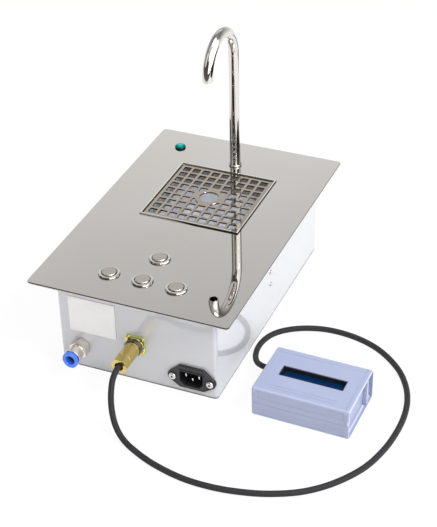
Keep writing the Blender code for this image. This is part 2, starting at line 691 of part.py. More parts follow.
def build_spout(steel, rubber, plain_steel):
    bend_height = TOP_HEIGHT + SPOUT_RISE
    path = [(0.0, 0.0, TOP_HEIGHT - SPOUT_TAIL), (0.0, 0.0, bend_height)]
    for step in range(1, SPOUT_BEND_STEPS + 1):
        angle = math.pi * step / SPOUT_BEND_STEPS
        path.append((0.0, -SPOUT_BEND * (1 - math.cos(angle)),
                     bend_height + SPOUT_BEND * math.sin(angle)))
    path.append((0.0, -2 * SPOUT_BEND, bend_height - SPOUT_MOUTH_DROP))
    place = (0.0, SPOUT_Y, 0.0)
    make("spout_tube", pipe(path, SPOUT_RADIUS, SPOUT_BORE, SPOUT_SIDES), steel, place)

    bore = SPOUT_RADIUS + GAP
    edge = RING_WALL / 2
    outer = bore + RING_WALL
    base, top = PLATE_TOP_SEAT, PLATE_TOP_SEAT + RING_HEIGHT
    profile = [(bore, top - edge), (bore + edge, top), (outer, top - edge), (outer, base),
               (bore, base)]
    make("spout_ring", turned(profile, closed=True), rubber, place)

    top = PLATE_UNDER - GAP
    under = top - BUSH_FLANGE_THICKNESS
    foot = top - BUSH_LENGTH
    profile = [(bore, top), (BUSH_FLANGE_RADIUS, top), (BUSH_FLANGE_RADIUS, under),
               (BUSH_RADIUS, under), (BUSH_RADIUS, foot), (bore, foot)]
    make("spout_bush", turned(profile, closed=True), plain_steel, place)
    nut_top = foot + BUSH_LENGTH / 2
    nut = make("spout_nut", hexagon(SPOUT_NUT_FLATS, nut_top - SPOUT_NUT_THICKNESS, nut_top),
               plain_steel, place)
    boolean(nut, make("spout_nut_bore", disc(BUSH_RADIUS + GAP, foot - OVERRUN, top),
                      place=place))


# Push buttons and indicator lamp

def build_buttons(steel, plain_steel):
    seat = PLATE_TOP_SEAT
    bore = CAP_RADIUS + GAP
    flange_top = seat + BUTTON_FLANGE_HEIGHT
    well = seat - BUTTON_WELL
    foot = seat - BUTTON_BARREL_LENGTH
    cap_top = flange_top + CAP_PROUD
    cap_under = seat - CAP_SKIRT
    body = [(0.0, foot), (BUTTON_BARREL, foot), (BUTTON_BARREL, seat),
            (BUTTON_FLANGE_RADIUS, seat), (BUTTON_FLANGE_RADIUS, seat + BUTTON_FLANGE_RIM),
            (bore + BUTTON_LIP, flange_top), (bore, flange_top), (bore, well), (0.0, well)]
    cap = [(0.0, cap_under - CAP_STEM), (CAP_STEM_RADIUS, cap_under - CAP_STEM),
           (CAP_STEM_RADIUS, cap_under), (CAP_RADIUS, cap_under),
           (CAP_RADIUS, cap_top - CAP_CHAMFER), (CAP_RADIUS - CAP_CHAMFER, cap_top),
           (0.0, cap_top)]
    low = well + GAP + SPRING_WIRE
    rise = cap_under - GAP - SPRING_WIRE - low
    count = SPRING_TURNS * SPRING_TURN_POINTS
    coil = []
    for step in range(count + 1):
        angle = 2 * math.pi * step / SPRING_TURN_POINTS
        coil.append((SPRING_RADIUS * math.cos(angle), SPRING_RADIUS * math.sin(angle),
                     low + rise * step / count))
    nut_top = PLATE_UNDER - GAP
    nut_bottom = nut_top - BUTTON_NUT_THICKNESS
    for number, (x, y) in enumerate(BUTTON_PLACES, 1):
        place = (x, y, 0.0)
        holder = make(f"button_{number}_body", turned(body, SPOUT_SIDES), steel, place)
        nut = make(f"button_{number}_nut", hexagon(BUTTON_NUT_FLATS, nut_bottom, nut_top),
                   place=place)
        core = disc(BUTTON_BARREL - GAP, nut_bottom - OVERRUN, nut_top + OVERRUN, SPOUT_SIDES)
        boolean(nut, make(f"button_{number}_nut_bore", core, place=place))
        boolean(holder, nut, "UNION")
        make(f"button_{number}_cap", turned(cap, SPOUT_SIDES), steel, place)
        tube_curve(f"button_{number}_spring", coil, SPRING_WIRE, 1, plain_steel, place)


def nut_shape(flats, bore, low, high):
    """A hexagonal nut with a round bore, its sides bridged from hexagon to circle."""
    bm = bmesh.new()
    corner = flats / 2 / math.cos(math.pi / HEX_SIDES)
    sides = HEX_SIDES * NUT_SPAN_STEPS
    loops = []
    for height in (low, high):
        outer, inner = [], []
        for step in range(sides):
            angle = 2 * math.pi * step / sides
            share = step % NUT_SPAN_STEPS / NUT_SPAN_STEPS
            start = step // NUT_SPAN_STEPS * 2 * math.pi / HEX_SIDES
            end = start + 2 * math.pi / HEX_SIDES
            x = corner * (math.cos(start) * (1 - share) + math.cos(end) * share)
            y = corner * (math.sin(start) * (1 - share) + math.sin(end) * share)
            outer.append(bm.verts.new((x, y, height)))
            inner.append(bm.verts.new((bore * math.cos(angle), bore * math.sin(angle), height)))
        loops.append((outer, inner))
    (outer_low, inner_low), (outer_high, inner_high) = loops
    for step in range(sides):
        after = (step + 1) % sides
        for a, b in ((outer_low, outer_high), (inner_low, inner_high), (outer_low, inner_low),
                     (outer_high, inner_high)):
            bm.faces.new((a[step], a[after], b[after], b[step]))
    bmesh.ops.dissolve_limit(bm, angle_limit=math.radians(1), verts=bm.verts, edges=bm.edges)
    return bm


def tube_curve(name, points, radius, resolution, material, place=(0.0, 0.0, 0.0)):
    """A solid round tube along the points, as a bevelled curve with filled ends."""
    curve = bpy.data.curves.new(name, "CURVE")
    curve.dimensions = "3D"
    curve.bevel_depth = radius
    curve.bevel_resolution = resolution
    curve.use_fill_caps = True
    spline = curve.splines.new("POLY")
    spline.points.add(len(points) - 1)
    for slot, point in zip(spline.points, points):
        slot.co = (*point, 1.0)
    curve.materials.append(material)
    item = bpy.data.objects.new(name, curve)
    bpy.context.collection.objects.link(item)
    item.location = place
    return item


def build_lamp(green, plain_steel):
    seat = PLATE_TOP_SEAT
    profile = [(0.0, seat - LAMP_STEM), (LAMP_STEM_RADIUS, seat - LAMP_STEM),
               (LAMP_STEM_RADIUS, seat), (LAMP_RADIUS, seat)]
    for step in range(DOME_STEPS):
        angle = math.pi / 2 * step / DOME_STEPS
        profile.append((LAMP_RADIUS * math.cos(angle),
                        seat + LAMP_RIM + (LAMP_DOME - LAMP_RIM) * math.sin(angle)))
    profile.append((0.0, seat + LAMP_DOME))
    place = (LAMP_X, LAMP_Y, 0.0)
    make("indicator_lens", turned(profile, SPOUT_SIDES), green, place)
    top = PLATE_UNDER - GAP
    make("indicator_nut", nut_shape(LAMP_NUT_FLATS, LAMP_STEM_RADIUS + GAP,
                                    top - LAMP_NUT_THICKNESS, top), plain_steel, place)


# Front wall: label, tube fitting, connector and mains inlet

def build_label(paper):
    low = (LABEL_LEFT, FRONT_SEAT - LABEL_THICKNESS, LABEL_BOTTOM)
    high = (LABEL_LEFT + LABEL_WIDTH, FRONT_SEAT, LABEL_BOTTOM + LABEL_HEIGHT)
    make("rating_label", block(low, high), paper)


def build_fitting(nickel, blue):
    neck_end = FITTING_HEX + FITTING_NECK
    lip_end = neck_end + FITTING_LIP
    shank_end = -(SHEET + GAP + FITTING_SHANK)
    nozzle = INLET_HOSE_BORE - GAP
    socket = COLLAR_SLEEVE_RADIUS + GAP
    socket_floor = lip_end - COLLAR_SOCKET_DEPTH
    profile = [(FITTING_BORE, shank_end - FITTING_NOZZLE), (nozzle, shank_end - FITTING_NOZZLE),
               (nozzle, shank_end), (FITTING_SHANK_RADIUS, shank_end),
               (FITTING_SHANK_RADIUS, GAP), (FITTING_NECK_RADIUS, GAP),
               (FITTING_NECK_RADIUS, neck_end), (FITTING_LIP_RADIUS, neck_end),
               (FITTING_LIP_RADIUS, lip_end), (socket, lip_end), (socket, socket_floor),
               (FITTING_BORE, socket_floor)]
    fitting = outward("inlet_fitting", turned(profile, closed=True), nickel, FITTING_X, FITTING_Z)
    hexagon_ring = nut_shape(FITTING_HEX_FLATS, (FITTING_NECK_RADIUS + socket) / 2, 0.0,
                             FITTING_HEX)
    bmesh.ops.rotate(hexagon_ring, verts=hexagon_ring.verts,
                     matrix=Matrix.Rotation(math.pi / HEX_SIDES, 3, "Z"))
    boolean(fitting, outward("fitting_hex", hexagon_ring, None, FITTING_X, FITTING_Z), "UNION")

    head = lip_end + GAP + COLLAR_TRAVEL
    stretch = COLLAR_HALF_HEIGHT / COLLAR_HALF_WIDTH
    collar = outward("inlet_collar", prism(polygon(ROUND_SIDES, COLLAR_HALF_WIDTH,
                                                   stretch=stretch), head, head + COLLAR_HEAD),
                     blue, FITTING_X, FITTING_Z)
    sleeve = disc(COLLAR_SLEEVE_RADIUS, head - COLLAR_SLEEVE, head + COLLAR_HEAD / 2)
    boolean(collar, outward("collar_sleeve", sleeve, None, FITTING_X, FITTING_Z), "UNION")
    bore = disc(COLLAR_BORE, head - COLLAR_SLEEVE - OVERRUN, head + COLLAR_HEAD + OVERRUN)
    boolean(collar, outward("collar_bore", bore, None, FITTING_X, FITTING_Z))

    inside = -(SHEET + 2 * GAP)
    outward("inlet_locknut", nut_shape(LOCKNUT_FLATS, FITTING_SHANK_RADIUS + GAP,
                                       inside - LOCKNUT_THICKNESS, inside), nickel,
            FITTING_X, FITTING_Z)


def build_connector(chromate, dark_steel, brass):
    flange = prism(rounded(SOCKET_WIDTH, SOCKET_WIDTH, SOCKET_CORNER), 0.0, SOCKET_THICKNESS)
    socket = outward("socket_flange", flange, chromate, MIDDLE_X, PLUG_Z)
    barrel = disc(SOCKET_BARREL_RADIUS, SOCKET_THICKNESS / 2, SOCKET_BARREL)
    boolean(socket, outward("socket_barrel", barrel, None, MIDDLE_X, PLUG_Z), "UNION")
    rear = disc(SOCKET_REAR_RADIUS, -SOCKET_REAR, SOCKET_THICKNESS / 2)
    boolean(socket, outward("socket_rear", rear, None, MIDDLE_X, PLUG_Z), "UNION")
    for name, x, z, radius in screw_places():
        if name.startswith("socket"):
            shape = screw_shape(radius, SOCKET_SCREW_HEAD, SOCKET_SCREW_HEIGHT,
                                SOCKET_SCREW_LENGTH, HOSE_SIDES)
            screw = outward(name, shape, None, x, z, FRONT_SEAT - SOCKET_THICKNESS + GAP)
            boolean(socket, screw, "UNION")

    low = SOCKET_BARREL - RING_LENGTH
    outward("coupling_ring", ring(RING_OUTER, SOCKET_BARREL_RADIUS + GAP, low, SOCKET_BARREL),
            dark_steel, MIDDLE_X, PLUG_Z)

    start = SOCKET_BARREL + GAP
    end = start + SHELL_LENGTH
    floor = end - SHELL_BORE_DEPTH
    profile = [(0.0, start), (SHELL_RADIUS, start), (SHELL_RADIUS, end - SHELL_END / 2),
               (SHELL_BORE, end - SHELL_END / 2), (SHELL_BORE, floor), (0.0, floor)]
    shell = outward("backshell", turned(profile), brass, MIDDLE_X, PLUG_Z)
    collar = nut_shape(SHELL_END_FLATS, SHELL_BORE, end - SHELL_END, end)
    boolean(shell, outward("shell_end", collar, None, MIDDLE_X, PLUG_Z), "UNION")
    flat_end = end - SHELL_FLAT_START
    for side in (-1, 1):
        near = side * SHELL_FLAT_WIDTH / 2
        far = side * (SHELL_RADIUS + OVERRUN)
        low_x, high_x = min(near, far), max(near, far)
        flat = block((low_x, -SHELL_RADIUS - OVERRUN, flat_end - SHELL_FLAT_LENGTH),
                     (high_x, SHELL_RADIUS + OVERRUN, flat_end))
        boolean(shell, outward(f"shell_flat_{side}", flat, None, MIDDLE_X, PLUG_Z))


def screw_shape(radius, head, height, length, sides=SMALL_SIDES):
    """A pan-head screw that points down from a seat at height zero."""
    return turned([(0.0, -length), (radius, -length), (radius, 0.0), (head, 0.0),
                   (head, height / 2), (head * SCREW_CROWN_SHARE, height), (0.0, height)], sides)


def inlet_outline():
    """Half-round ears joined by sloping sides to a level top and bottom."""
    centre = INLET_HALF_WIDTH - INLET_EAR_RADIUS
    points = [(INLET_TOP_HALF, -INLET_BELOW)]
    for step in range(INLET_EAR_STEPS + 1):
        angle = INLET_EAR_TURN * (2 * step / INLET_EAR_STEPS - 1)
        points.append((centre + INLET_EAR_RADIUS * math.cos(angle),
                       INLET_EAR_RADIUS * math.sin(angle)))
    points.append((INLET_TOP_HALF, INLET_ABOVE))
    return points + [(-x, z) for x, z in reversed(points)]


def build_inlet(black, steel):
    inlet = outward("power_inlet", prism(inlet_outline(), 0.0, INLET_FLANGE), black,
                    INLET_X, INLET_Z)
    half_x, half_z = INLET_BODY_WIDTH / 2, INLET_BODY_HEIGHT / 2
    body = block((-half_x, -half_z, -INLET_BODY_DEPTH), (half_x, half_z, INLET_FLANGE / 2))
    boolean(inlet, outward("inlet_body", body, None, INLET_X, INLET_Z), "UNION")
    across, up = INLET_CAVITY_WIDTH / 2, INLET_CAVITY_HEIGHT / 2
    cut = INLET_CAVITY_CHAMFER
    outline = [(across, up), (-across, up), (-across, cut - up), (cut - across, -up),
               (across - cut, -up), (across, cut - up)]
    floor = INLET_FLANGE - INLET_CAVITY_DEPTH
    cavity = prism(outline, floor, INLET_FLANGE + OVERRUN)
    boolean(inlet, outward("inlet_cavity", cavity, None, INLET_X, INLET_Z))
    pins = ((-PIN_SPREAD, PIN_RAISE), (0.0, -PIN_RAISE), (PIN_SPREAD, PIN_RAISE))
    for number, (x, z) in enumerate(pins, 1):
        pin = block((x - PIN_WIDTH / 2, z - PIN_HEIGHT / 2, floor - GAP),
                    (x + PIN_WIDTH / 2, z + PIN_HEIGHT / 2, floor + PIN_LENGTH))
        boolean(inlet, outward(f"inlet_pin_{number}", pin, None, INLET_X, INLET_Z), "UNION")
    for name, x, z, radius in screw_places():
        if name.startswith("inlet"):
            hole = disc(radius + GAP, -OVERRUN, INLET_FLANGE + OVERRUN, SMALL_SIDES)
            boolean(inlet, outward(f"{name}_passage", hole, None, x, z))
            shape = screw_shape(radius, INLET_SCREW_HEAD, INLET_SCREW_HEIGHT, INLET_SCREW_LENGTH)
            outward(name, shape, steel, x, z, FRONT_SEAT - INLET_FLANGE - GAP)


# Hose pump

def build_rivets(steel):
    length = SHEET + BRACKET_SHEET + 3 * GAP
    for number, z in enumerate(rivet_heights(), 1):
        shape = screw_shape(RIVET_RADIUS, RIVET_HEAD, RIVET_HEAD_HEIGHT, length)
        make(f"side_rivet_{number}", shape, steel, (HALF_X + GAP, RIVET_Y, z),
             (0.0, math.pi / 2, 0.0))


def build_pump(zinc, motor_can, nylon, plain_steel, silicone):
    wall = HALF_X - SHEET - GAP
    low, high = PUMP_Z - BRACKET_HALF_HEIGHT, PUMP_Z + BRACKET_HALF_HEIGHT
    left = PUMP_X - HEAD_SIZE / 2
    bracket = make("pump_bracket", block((left, BRACKET_Y, low),
                                         (wall, BRACKET_Y + BRACKET_SHEET, high)), zinc)
    leg = block((wall - BRACKET_SHEET, BRACKET_Y + BRACKET_SHEET - BRACKET_LEG, low),
                (wall, BRACKET_Y + BRACKET_SHEET / 2, high))
    boolean(bracket, make("bracket_leg", leg), "UNION")
    for number, z in enumerate(rivet_heights(), 1):
        boolean(bracket, make(f"bracket_hole_{number}",
                              disc(RIVET_RADIUS + GAP, -OVERRUN, OVERRUN, SMALL_SIDES),
                              place=(wall, RIVET_Y, z), turn=(0.0, math.pi / 2, 0.0)))
    across = {"x": PUMP_X, "z": PUMP_Z, "y": 0.0}
    boss_hole = disc(MOTOR_BOSS_RADIUS + GAP, -BRACKET_Y - OVERRUN, OVERRUN - BRACKET_Y)
    boolean(bracket, outward("shaft_passage", boss_hole, None, **across))

    motor_face = -(BRACKET_Y + BRACKET_SHEET + GAP)
    profile = [(0.0, motor_face - MOTOR_LENGTH), (MOTOR_RADIUS, motor_face - MOTOR_LENGTH),
               (MOTOR_RADIUS, motor_face), (MOTOR_BOSS_RADIUS, motor_face),
               (MOTOR_BOSS_RADIUS, motor_face + BRACKET_SHEET + GAP),
               (0.0, motor_face + BRACKET_SHEET + GAP)]
    outward("pump_motor", turned(profile), motor_can, **across)

    half = HEAD_SIZE / 2
    head = outward("pump_head", block((-half, -half, -HEAD_BACK), (half, half, -HEAD_FRONT)),
                   nylon, **across)
    floor = HEAD_FLOOR - HEAD_BACK
    boolean(head, outward("head_pocket", disc(TRACK_RADIUS, floor, OVERRUN - HEAD_FRONT), None,
                          **across))
    for side in (-1, 1):
        outer, inner = side * TRACK_RADIUS, side * (TRACK_RADIUS - TUBE_THICKNESS - 2 * GAP)
        slot = block((-half - OVERRUN, min(outer, inner), floor),
                     (0.0, max(outer, inner), OVERRUN - HEAD_FRONT))
        boolean(head, outward(f"tube_slot_{side}", slot, None, **across))
    boolean(head, outward("head_shaft_hole", disc(ROTOR_SHAFT + GAP, -HEAD_BACK - OVERRUN, 0.0,
                                                  SMALL_SIDES), None, **across))

    rotor = outward("pump_rotor", disc(ROLLER_ORBIT + ROTOR_RIM, -ROTOR_BACK,
                                       ROTOR_DISC - ROTOR_BACK, SPOUT_SIDES), plain_steel,
                    **across)
    boolean(rotor, outward("rotor_shaft", disc(ROTOR_SHAFT, GAP - BRACKET_Y,
                                               ROLLER_LENGTH - ROLLER_BACK, SMALL_SIDES), None,
                           **across), "UNION")
    for number in range(1, ROLLERS + 1):
        angle = 2 * math.pi * number / ROLLERS
        x, z = ROLLER_ORBIT * math.cos(angle), ROLLER_ORBIT * math.sin(angle)
        pin = disc(ROLLER_PIN, ROTOR_DISC / 2 - ROTOR_BACK, ROLLER_LENGTH - ROLLER_BACK,
                   SMALL_SIDES)
        boolean(rotor, outward(f"roller_pin_{number}", pin, None, PUMP_X + x, PUMP_Z + z, 0.0),
                "UNION")
        roller = ring(ROLLER_RADIUS, ROLLER_PIN + GAP, -ROLLER_BACK,
                      ROLLER_LENGTH - ROLLER_BACK, SMALL_SIDES)
        outward(f"pump_roller_{number}", roller, nylon, PUMP_X + x, PUMP_Z + z, 0.0)

    path = [(-half - TUBE_TAIL, 0.0, TRACK_MIDDLE)]
    for step in range(TUBE_ARC_STEPS + 1):
        angle = math.pi / 2 - math.pi * step / TUBE_ARC_STEPS
        path.append((TRACK_MIDDLE * math.cos(angle), 0.0, TRACK_MIDDLE * math.sin(angle)))
    path.append((-half - TUBE_TAIL, 0.0, -TRACK_MIDDLE))
    squash = TUBE_THICKNESS / TUBE_WIDTH
    make("pump_tube", pipe(path, TUBE_WIDTH / 2, TUBE_WIDTH / 2 * TUBE_BORE_SHARE, HOSE_SIDES,
                           squash), silicone, (PUMP_X, TUBE_Y, PUMP_Z))

    joiners = (("inlet_joiner", -1, INLET_HOSE_BORE - GAP), ("outlet_joiner", 1, SPOUT_RADIUS))
    for name, level, nozzle in joiners:
        profile = [(0.0, 0.0), (JOINER_RADIUS, 0.0), (JOINER_RADIUS, JOINER_LENGTH),
                   (nozzle, JOINER_LENGTH), (nozzle, JOINER_LENGTH + JOINER_NOZZLE),
                   (0.0, JOINER_LENGTH + JOINER_NOZZLE)]
        make(name, turned(profile, SMALL_SIDES), nylon,
             (JOINER_X, TUBE_Y, PUMP_Z + level * TRACK_MIDDLE), (0.0, -math.pi / 2, 0.0))


def build_hoses(silicone):
    hose_start = FRONT_INSIDE + FITTING_SHANK + 2 * GAP
    joiner_end = JOINER_X - JOINER_LENGTH - GAP
    low = PUMP_Z - TRACK_MIDDLE
    straight = hose_start + FITTING_NOZZLE
    run_x = joiner_end - FITTING_X
    run_y = TUBE_Y - straight
    route = [(FITTING_X, hose_start, FITTING_Z), (FITTING_X, straight, FITTING_Z),
             (FITTING_X, straight + FITTING_NOZZLE, FITTING_Z)]
    for x_share, y_share in INLET_ROUTE_SHARES:
        route.append((FITTING_X + run_x * x_share, straight + run_y * y_share, low))
    route += [(joiner_end - 2 * JOINER_NOZZLE, TUBE_Y, low),
              (joiner_end - JOINER_NOZZLE, TUBE_Y, low), (joiner_end, TUBE_Y, low)]
    make("inlet_hose", pipe(smooth_path(route, HOSE_STEPS), INLET_HOSE_RADIUS, INLET_HOSE_BORE,
                            HOSE_SIDES), silicone)
    high = PUMP_Z + TRACK_MIDDLE
    bore = SPOUT_RADIUS + 2 * GAP
    tail = TOP_HEIGHT - SPOUT_TAIL
    hose_top = tail + JOINER_NOZZLE
    inner_x = joiner_end - JOINER_NOZZLE
    run_y = SPOUT_Y - TUBE_Y
    route = [(joiner_end, TUBE_Y, high), (inner_x, TUBE_Y, high),
             (inner_x - JOINER_NOZZLE / 2, TUBE_Y, high)]
    for x_share, y_share, z_share in OUTLET_ROUTE_SHARES:
        route.append((-JOINER_NOZZLE * x_share, TUBE_Y + run_y * y_share, tail * z_share))
    route += [(0.0, SPOUT_Y, tail - JOINER_NOZZLE), (0.0, SPOUT_Y, tail),
              (0.0, SPOUT_Y, hose_top)]
    make("outlet_hose", pipe(smooth_path(route, HOSE_STEPS), bore + OUTLET_HOSE_WALL, bore,
                             HOSE_SIDES), silicone)


# Electrics

def build_electrics(zinc, board_green):
    half_x, half_y = SUPPLY_WIDTH / 2, SUPPLY_DEPTH / 2
    supply = make("power_supply", block((SUPPLY_X - half_x, SUPPLY_Y - half_y, FLOOR_TOP),
                                        (SUPPLY_X + half_x, SUPPLY_Y + half_y,
                                         FLOOR_TOP + SUPPLY_HEIGHT)), zinc)
    terminal = block((SUPPLY_X - half_x + SUPPLY_TERMINAL, SUPPLY_Y - half_y - SUPPLY_TERMINAL,
                      FLOOR_TOP),
                     (SUPPLY_X + half_x - SUPPLY_TERMINAL, SUPPLY_Y - half_y + SUPPLY_TERMINAL,
                      FLOOR_TOP + SUPPLY_HEIGHT * TERMINAL_HEIGHT_SHARE))
    boolean(supply, make("supply_terminal", terminal), "UNION")
    half = BOARD_SIZE / 2
    board = make("control_board", block((BOARD_X - half, BOARD_Y - half, BOARD_Z),
                                        (BOARD_X + half, BOARD_Y + half,
                                         BOARD_Z + BOARD_THICKNESS)), board_green)
    for number, shares in enumerate(BOARD_PART_SHARES, 1):
        x_share, y_share, width_share, depth_share = shares
        x, y = BOARD_X + x_share * half, BOARD_Y + y_share * half
        wide, deep = width_share * half, depth_share * half
        chip = block((x - wide, y - deep, BOARD_Z + BOARD_THICKNESS / 2),
                     (x + wide, y + deep, BOARD_Z + BOARD_PART_HEIGHT))
        boolean(board, make(f"board_part_{number}", chip), "UNION")
    reach = half - BOARD_INSET
    corners = [(side * reach, end * reach) for side in (-1, 1) for end in (-1, 1)]
    for number, (x, y) in enumerate(corners, 1):
        post = disc(STANDOFF_RADIUS, FLOOR_TOP, BOARD_Z + BOARD_THICKNESS / 2, HOSE_SIDES)
        boolean(board, make(f"board_post_{number}", post,
                            place=(BOARD_X + x, BOARD_Y + y, 0.0)), "UNION")


# Display case

def in_case(name, bm, material, base, turn=(0.0, 0.0, 0.0), place=(0.0, 0.0, 0.0)):
    item = make(name, bm, material, place, turn)
    item.parent = base
    return item


def case_shell(name, low, high, lilac, base):
    """One half of the case: an extruded channel whose walls run past the end panels."""
    half_x, half_y = CASE_WIDTH / 2, CASE_DEPTH / 2
    shell = in_case(name, block((-half_x, -half_y, 0.0), (half_x, half_y, CASE_HEIGHT)), lilac,
                    base)
    soften(shell, CASE_CORNER, CASE_CORNER_STEPS)
    keep = block((-half_x - OVERRUN, -half_y - OVERRUN, low),
                 (half_x + OVERRUN, half_y + OVERRUN, high))
    boolean(shell, in_case(f"{name}_half", keep, None, base), "INTERSECT")
    hollow = block((-half_x - OVERRUN, CASE_WALL - half_y, CASE_WALL),
                   (half_x + OVERRUN, half_y - CASE_WALL, CASE_HEIGHT - CASE_WALL))
    boolean(shell, in_case(f"{name}_hollow", hollow, None, base))
    return shell


def build_case(lilac, black, lcd_blue, rubber):
    base = bpy.data.objects.new("display_case_place", None)
    bpy.context.collection.objects.link(base)
    base.location = (CASE_X, CASE_Y, 0.0)
    base.rotation_euler = (0.0, 0.0, CASE_TURN)
    half_x, half_y = CASE_WIDTH / 2, CASE_DEPTH / 2
    bottom = case_shell("display_case_bottom", -OVERRUN, CASE_SEAM, lilac, base)
    top = case_shell("display_case_top", CASE_SEAM + GAP, CASE_HEIGHT + OVERRUN, lilac, base)
    panels = ((bottom, "lower", CASE_PANEL_EDGE, CASE_PANEL_EDGE + CASE_LOWER_PANEL),
              (top, "upper", CASE_HEIGHT - CASE_PANEL_EDGE - CASE_UPPER_PANEL,
               CASE_HEIGHT - CASE_PANEL_EDGE))
    for shell, level, low, high in panels:
        for side in (-1, 1):
            face = side * (half_y - CASE_PANEL_RECESS)
            far = side * (half_y + OVERRUN)
            panel = block((CASE_PANEL_INSET - half_x, min(face, far), low),
                          (half_x - CASE_PANEL_INSET, max(face, far), high))
            boolean(shell, in_case(f"{level}_panel_{side}", panel, None, base))
    window = block((-WINDOW_WIDTH / 2, WINDOW_Y - WINDOW_DEPTH / 2, CASE_HEIGHT / 2),
                   (WINDOW_WIDTH / 2, WINDOW_Y + WINDOW_DEPTH / 2, CASE_HEIGHT + OVERRUN))
    boolean(top, in_case("display_window", window, None, base))

    wall = CASE_WALL + GAP
    for side, name in ((-1, "display_end_left"), (1, "display_end_right")):
        outer = side * (half_x - END_RECESS)
        inner = outer - side * END_THICKNESS
        panel = in_case(name, block((min(outer, inner), wall - half_y, wall),
                                    (max(outer, inner), half_y - wall, CASE_HEIGHT - wall)),
                        lilac, base)
        if side < 0:
            hole = disc(GROMMET_RADIUS + GAP, -OVERRUN, OVERRUN, SMALL_SIDES)
            boolean(panel, in_case("grommet_hole", hole, None, base, (0.0, math.pi / 2, 0.0),
                                   (outer, CABLE_ENTRY_Y, CABLE_ENTRY_Z)))

    frame_top = CASE_HEIGHT - WINDOW_SUNK
    body_top = CASE_HEIGHT - CASE_WALL - GAP
    glass_top = CASE_HEIGHT - LCD_DEPTH
    out_x, out_y = WINDOW_WIDTH / 2 - GAP, WINDOW_DEPTH / 2 - GAP
    in_x, in_y = out_x - LCD_FRAME_WALL, out_y - LCD_FRAME_WALL
    bezel = in_case("lcd_bezel", block((-LCD_BODY_WIDTH / 2, WINDOW_Y - LCD_BODY_DEPTH / 2,
                                        body_top - LCD_BODY_HEIGHT),
                                       (LCD_BODY_WIDTH / 2, WINDOW_Y + LCD_BODY_DEPTH / 2,
                                        body_top)), black, base)
    liner = block((-out_x, WINDOW_Y - out_y, body_top - LCD_BODY_HEIGHT / 2),
                  (out_x, WINDOW_Y + out_y, frame_top))
    boolean(bezel, in_case("window_liner", liner, None, base), "UNION")
    glass_bottom = glass_top - LCD_PAD
    pocket = block((-in_x, WINDOW_Y - in_y, glass_bottom - GAP),
                   (in_x, WINDOW_Y + in_y, CASE_HEIGHT + OVERRUN))
    boolean(bezel, in_case("lcd_pocket", pocket, None, base))
    in_case("lcd_glass", block((GAP - in_x, WINDOW_Y - in_y + GAP, glass_bottom),
                               (in_x - GAP, WINDOW_Y + in_y - GAP, glass_top)), lcd_blue, base)

    outer = END_RECESS - half_x
    bore = CABLE_RADIUS + GAP
    lip = GROMMET_RADIUS + GROMMET_LIP
    reach = END_THICKNESS + GAP
    profile = [(bore, -GAP - GROMMET_LIP), (lip, -GAP - GROMMET_LIP), (lip, -GAP),
               (GROMMET_RADIUS, -GAP), (GROMMET_RADIUS, reach), (bore, reach)]
    in_case("cable_grommet", turned(profile, SMALL_SIDES, closed=True), rubber, base,
            (0.0, math.pi / 2, 0.0), (outer, CABLE_ENTRY_Y, CABLE_ENTRY_Z))


def build_cable(braid):
    points = [Vector(point) * MM for point in CABLE_POINTS]
    tube_curve("display_cable", smooth_path(points, CABLE_STEPS), CABLE_RADIUS,
               CABLE_ROUNDNESS, braid)


def main():
    clear_scene()
    mirror = paint("mirror_steel", (0.62, 0.60, 0.57), 0.12, 1.0)
    plain_steel = paint("plain_steel", (0.55, 0.55, 0.56), 0.35, 1.0)
    white = paint("white_enamel", (0.78, 0.79, 0.81), 0.3)
    black = paint("black_plastic", (0.02, 0.02, 0.022), 0.45)
    rubber = paint("black_rubber", (0.03, 0.03, 0.03), 0.7)
    brass = paint("brass", (0.66, 0.5, 0.24), 0.35, 1.0)
    nickel = paint("nickel", (0.62, 0.59, 0.55), 0.25, 1.0)
    nylon = paint("white_nylon", (0.8, 0.8, 0.78), 0.5)
    zinc = paint("zinc_sheet", (0.6, 0.62, 0.64), 0.4, 1.0)
    silicone = paint("silicone", (0.75, 0.76, 0.74), 0.5)

    build_plate(mirror)
    build_housing(white, paint("pale_rubber", (0.6, 0.6, 0.6), 0.7))
    build_cover(white)
    build_tray(plain_steel)
    build_grille(mirror)
    build_spout(mirror, rubber, plain_steel)
    build_buttons(mirror, plain_steel)
    build_lamp(paint("green_lens", (0.0, 0.12, 0.07), 0.1), plain_steel)
    build_label(paint("label_film", (0.8, 0.78, 0.7), 0.6))
    build_fitting(nickel, paint("blue_plastic", (0.02, 0.13, 0.75), 0.35))
    build_connector(paint("yellow_chromate", (0.6, 0.6, 0.2), 0.35, 1.0),
                    paint("dark_steel", (0.1, 0.09, 0.09), 0.35, 1.0), brass)
    build_inlet(black, plain_steel)
    build_rivets(plain_steel)
    build_pump(zinc, paint("motor_can", (0.25, 0.25, 0.27), 0.4, 1.0), nylon, plain_steel,
               silicone)
    build_hoses(silicone)
    build_electrics(zinc, paint("circuit_board", (0.02, 0.2, 0.08), 0.5))
    build_case(paint("lilac_plastic", (0.46, 0.5, 0.66), 0.5), black,
               paint("lcd_blue", (0.0, 0.03, 0.16), 0.15), rubber)
    build_cable(paint("black_braid", (0.02, 0.02, 0.022), 0.6))


main()
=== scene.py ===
"""Looks of the milk dispenser: camera, cable, light, finishes and the detailed pieces."""

import math

import bmesh
import bpy
from mathutils import Matrix, Vector


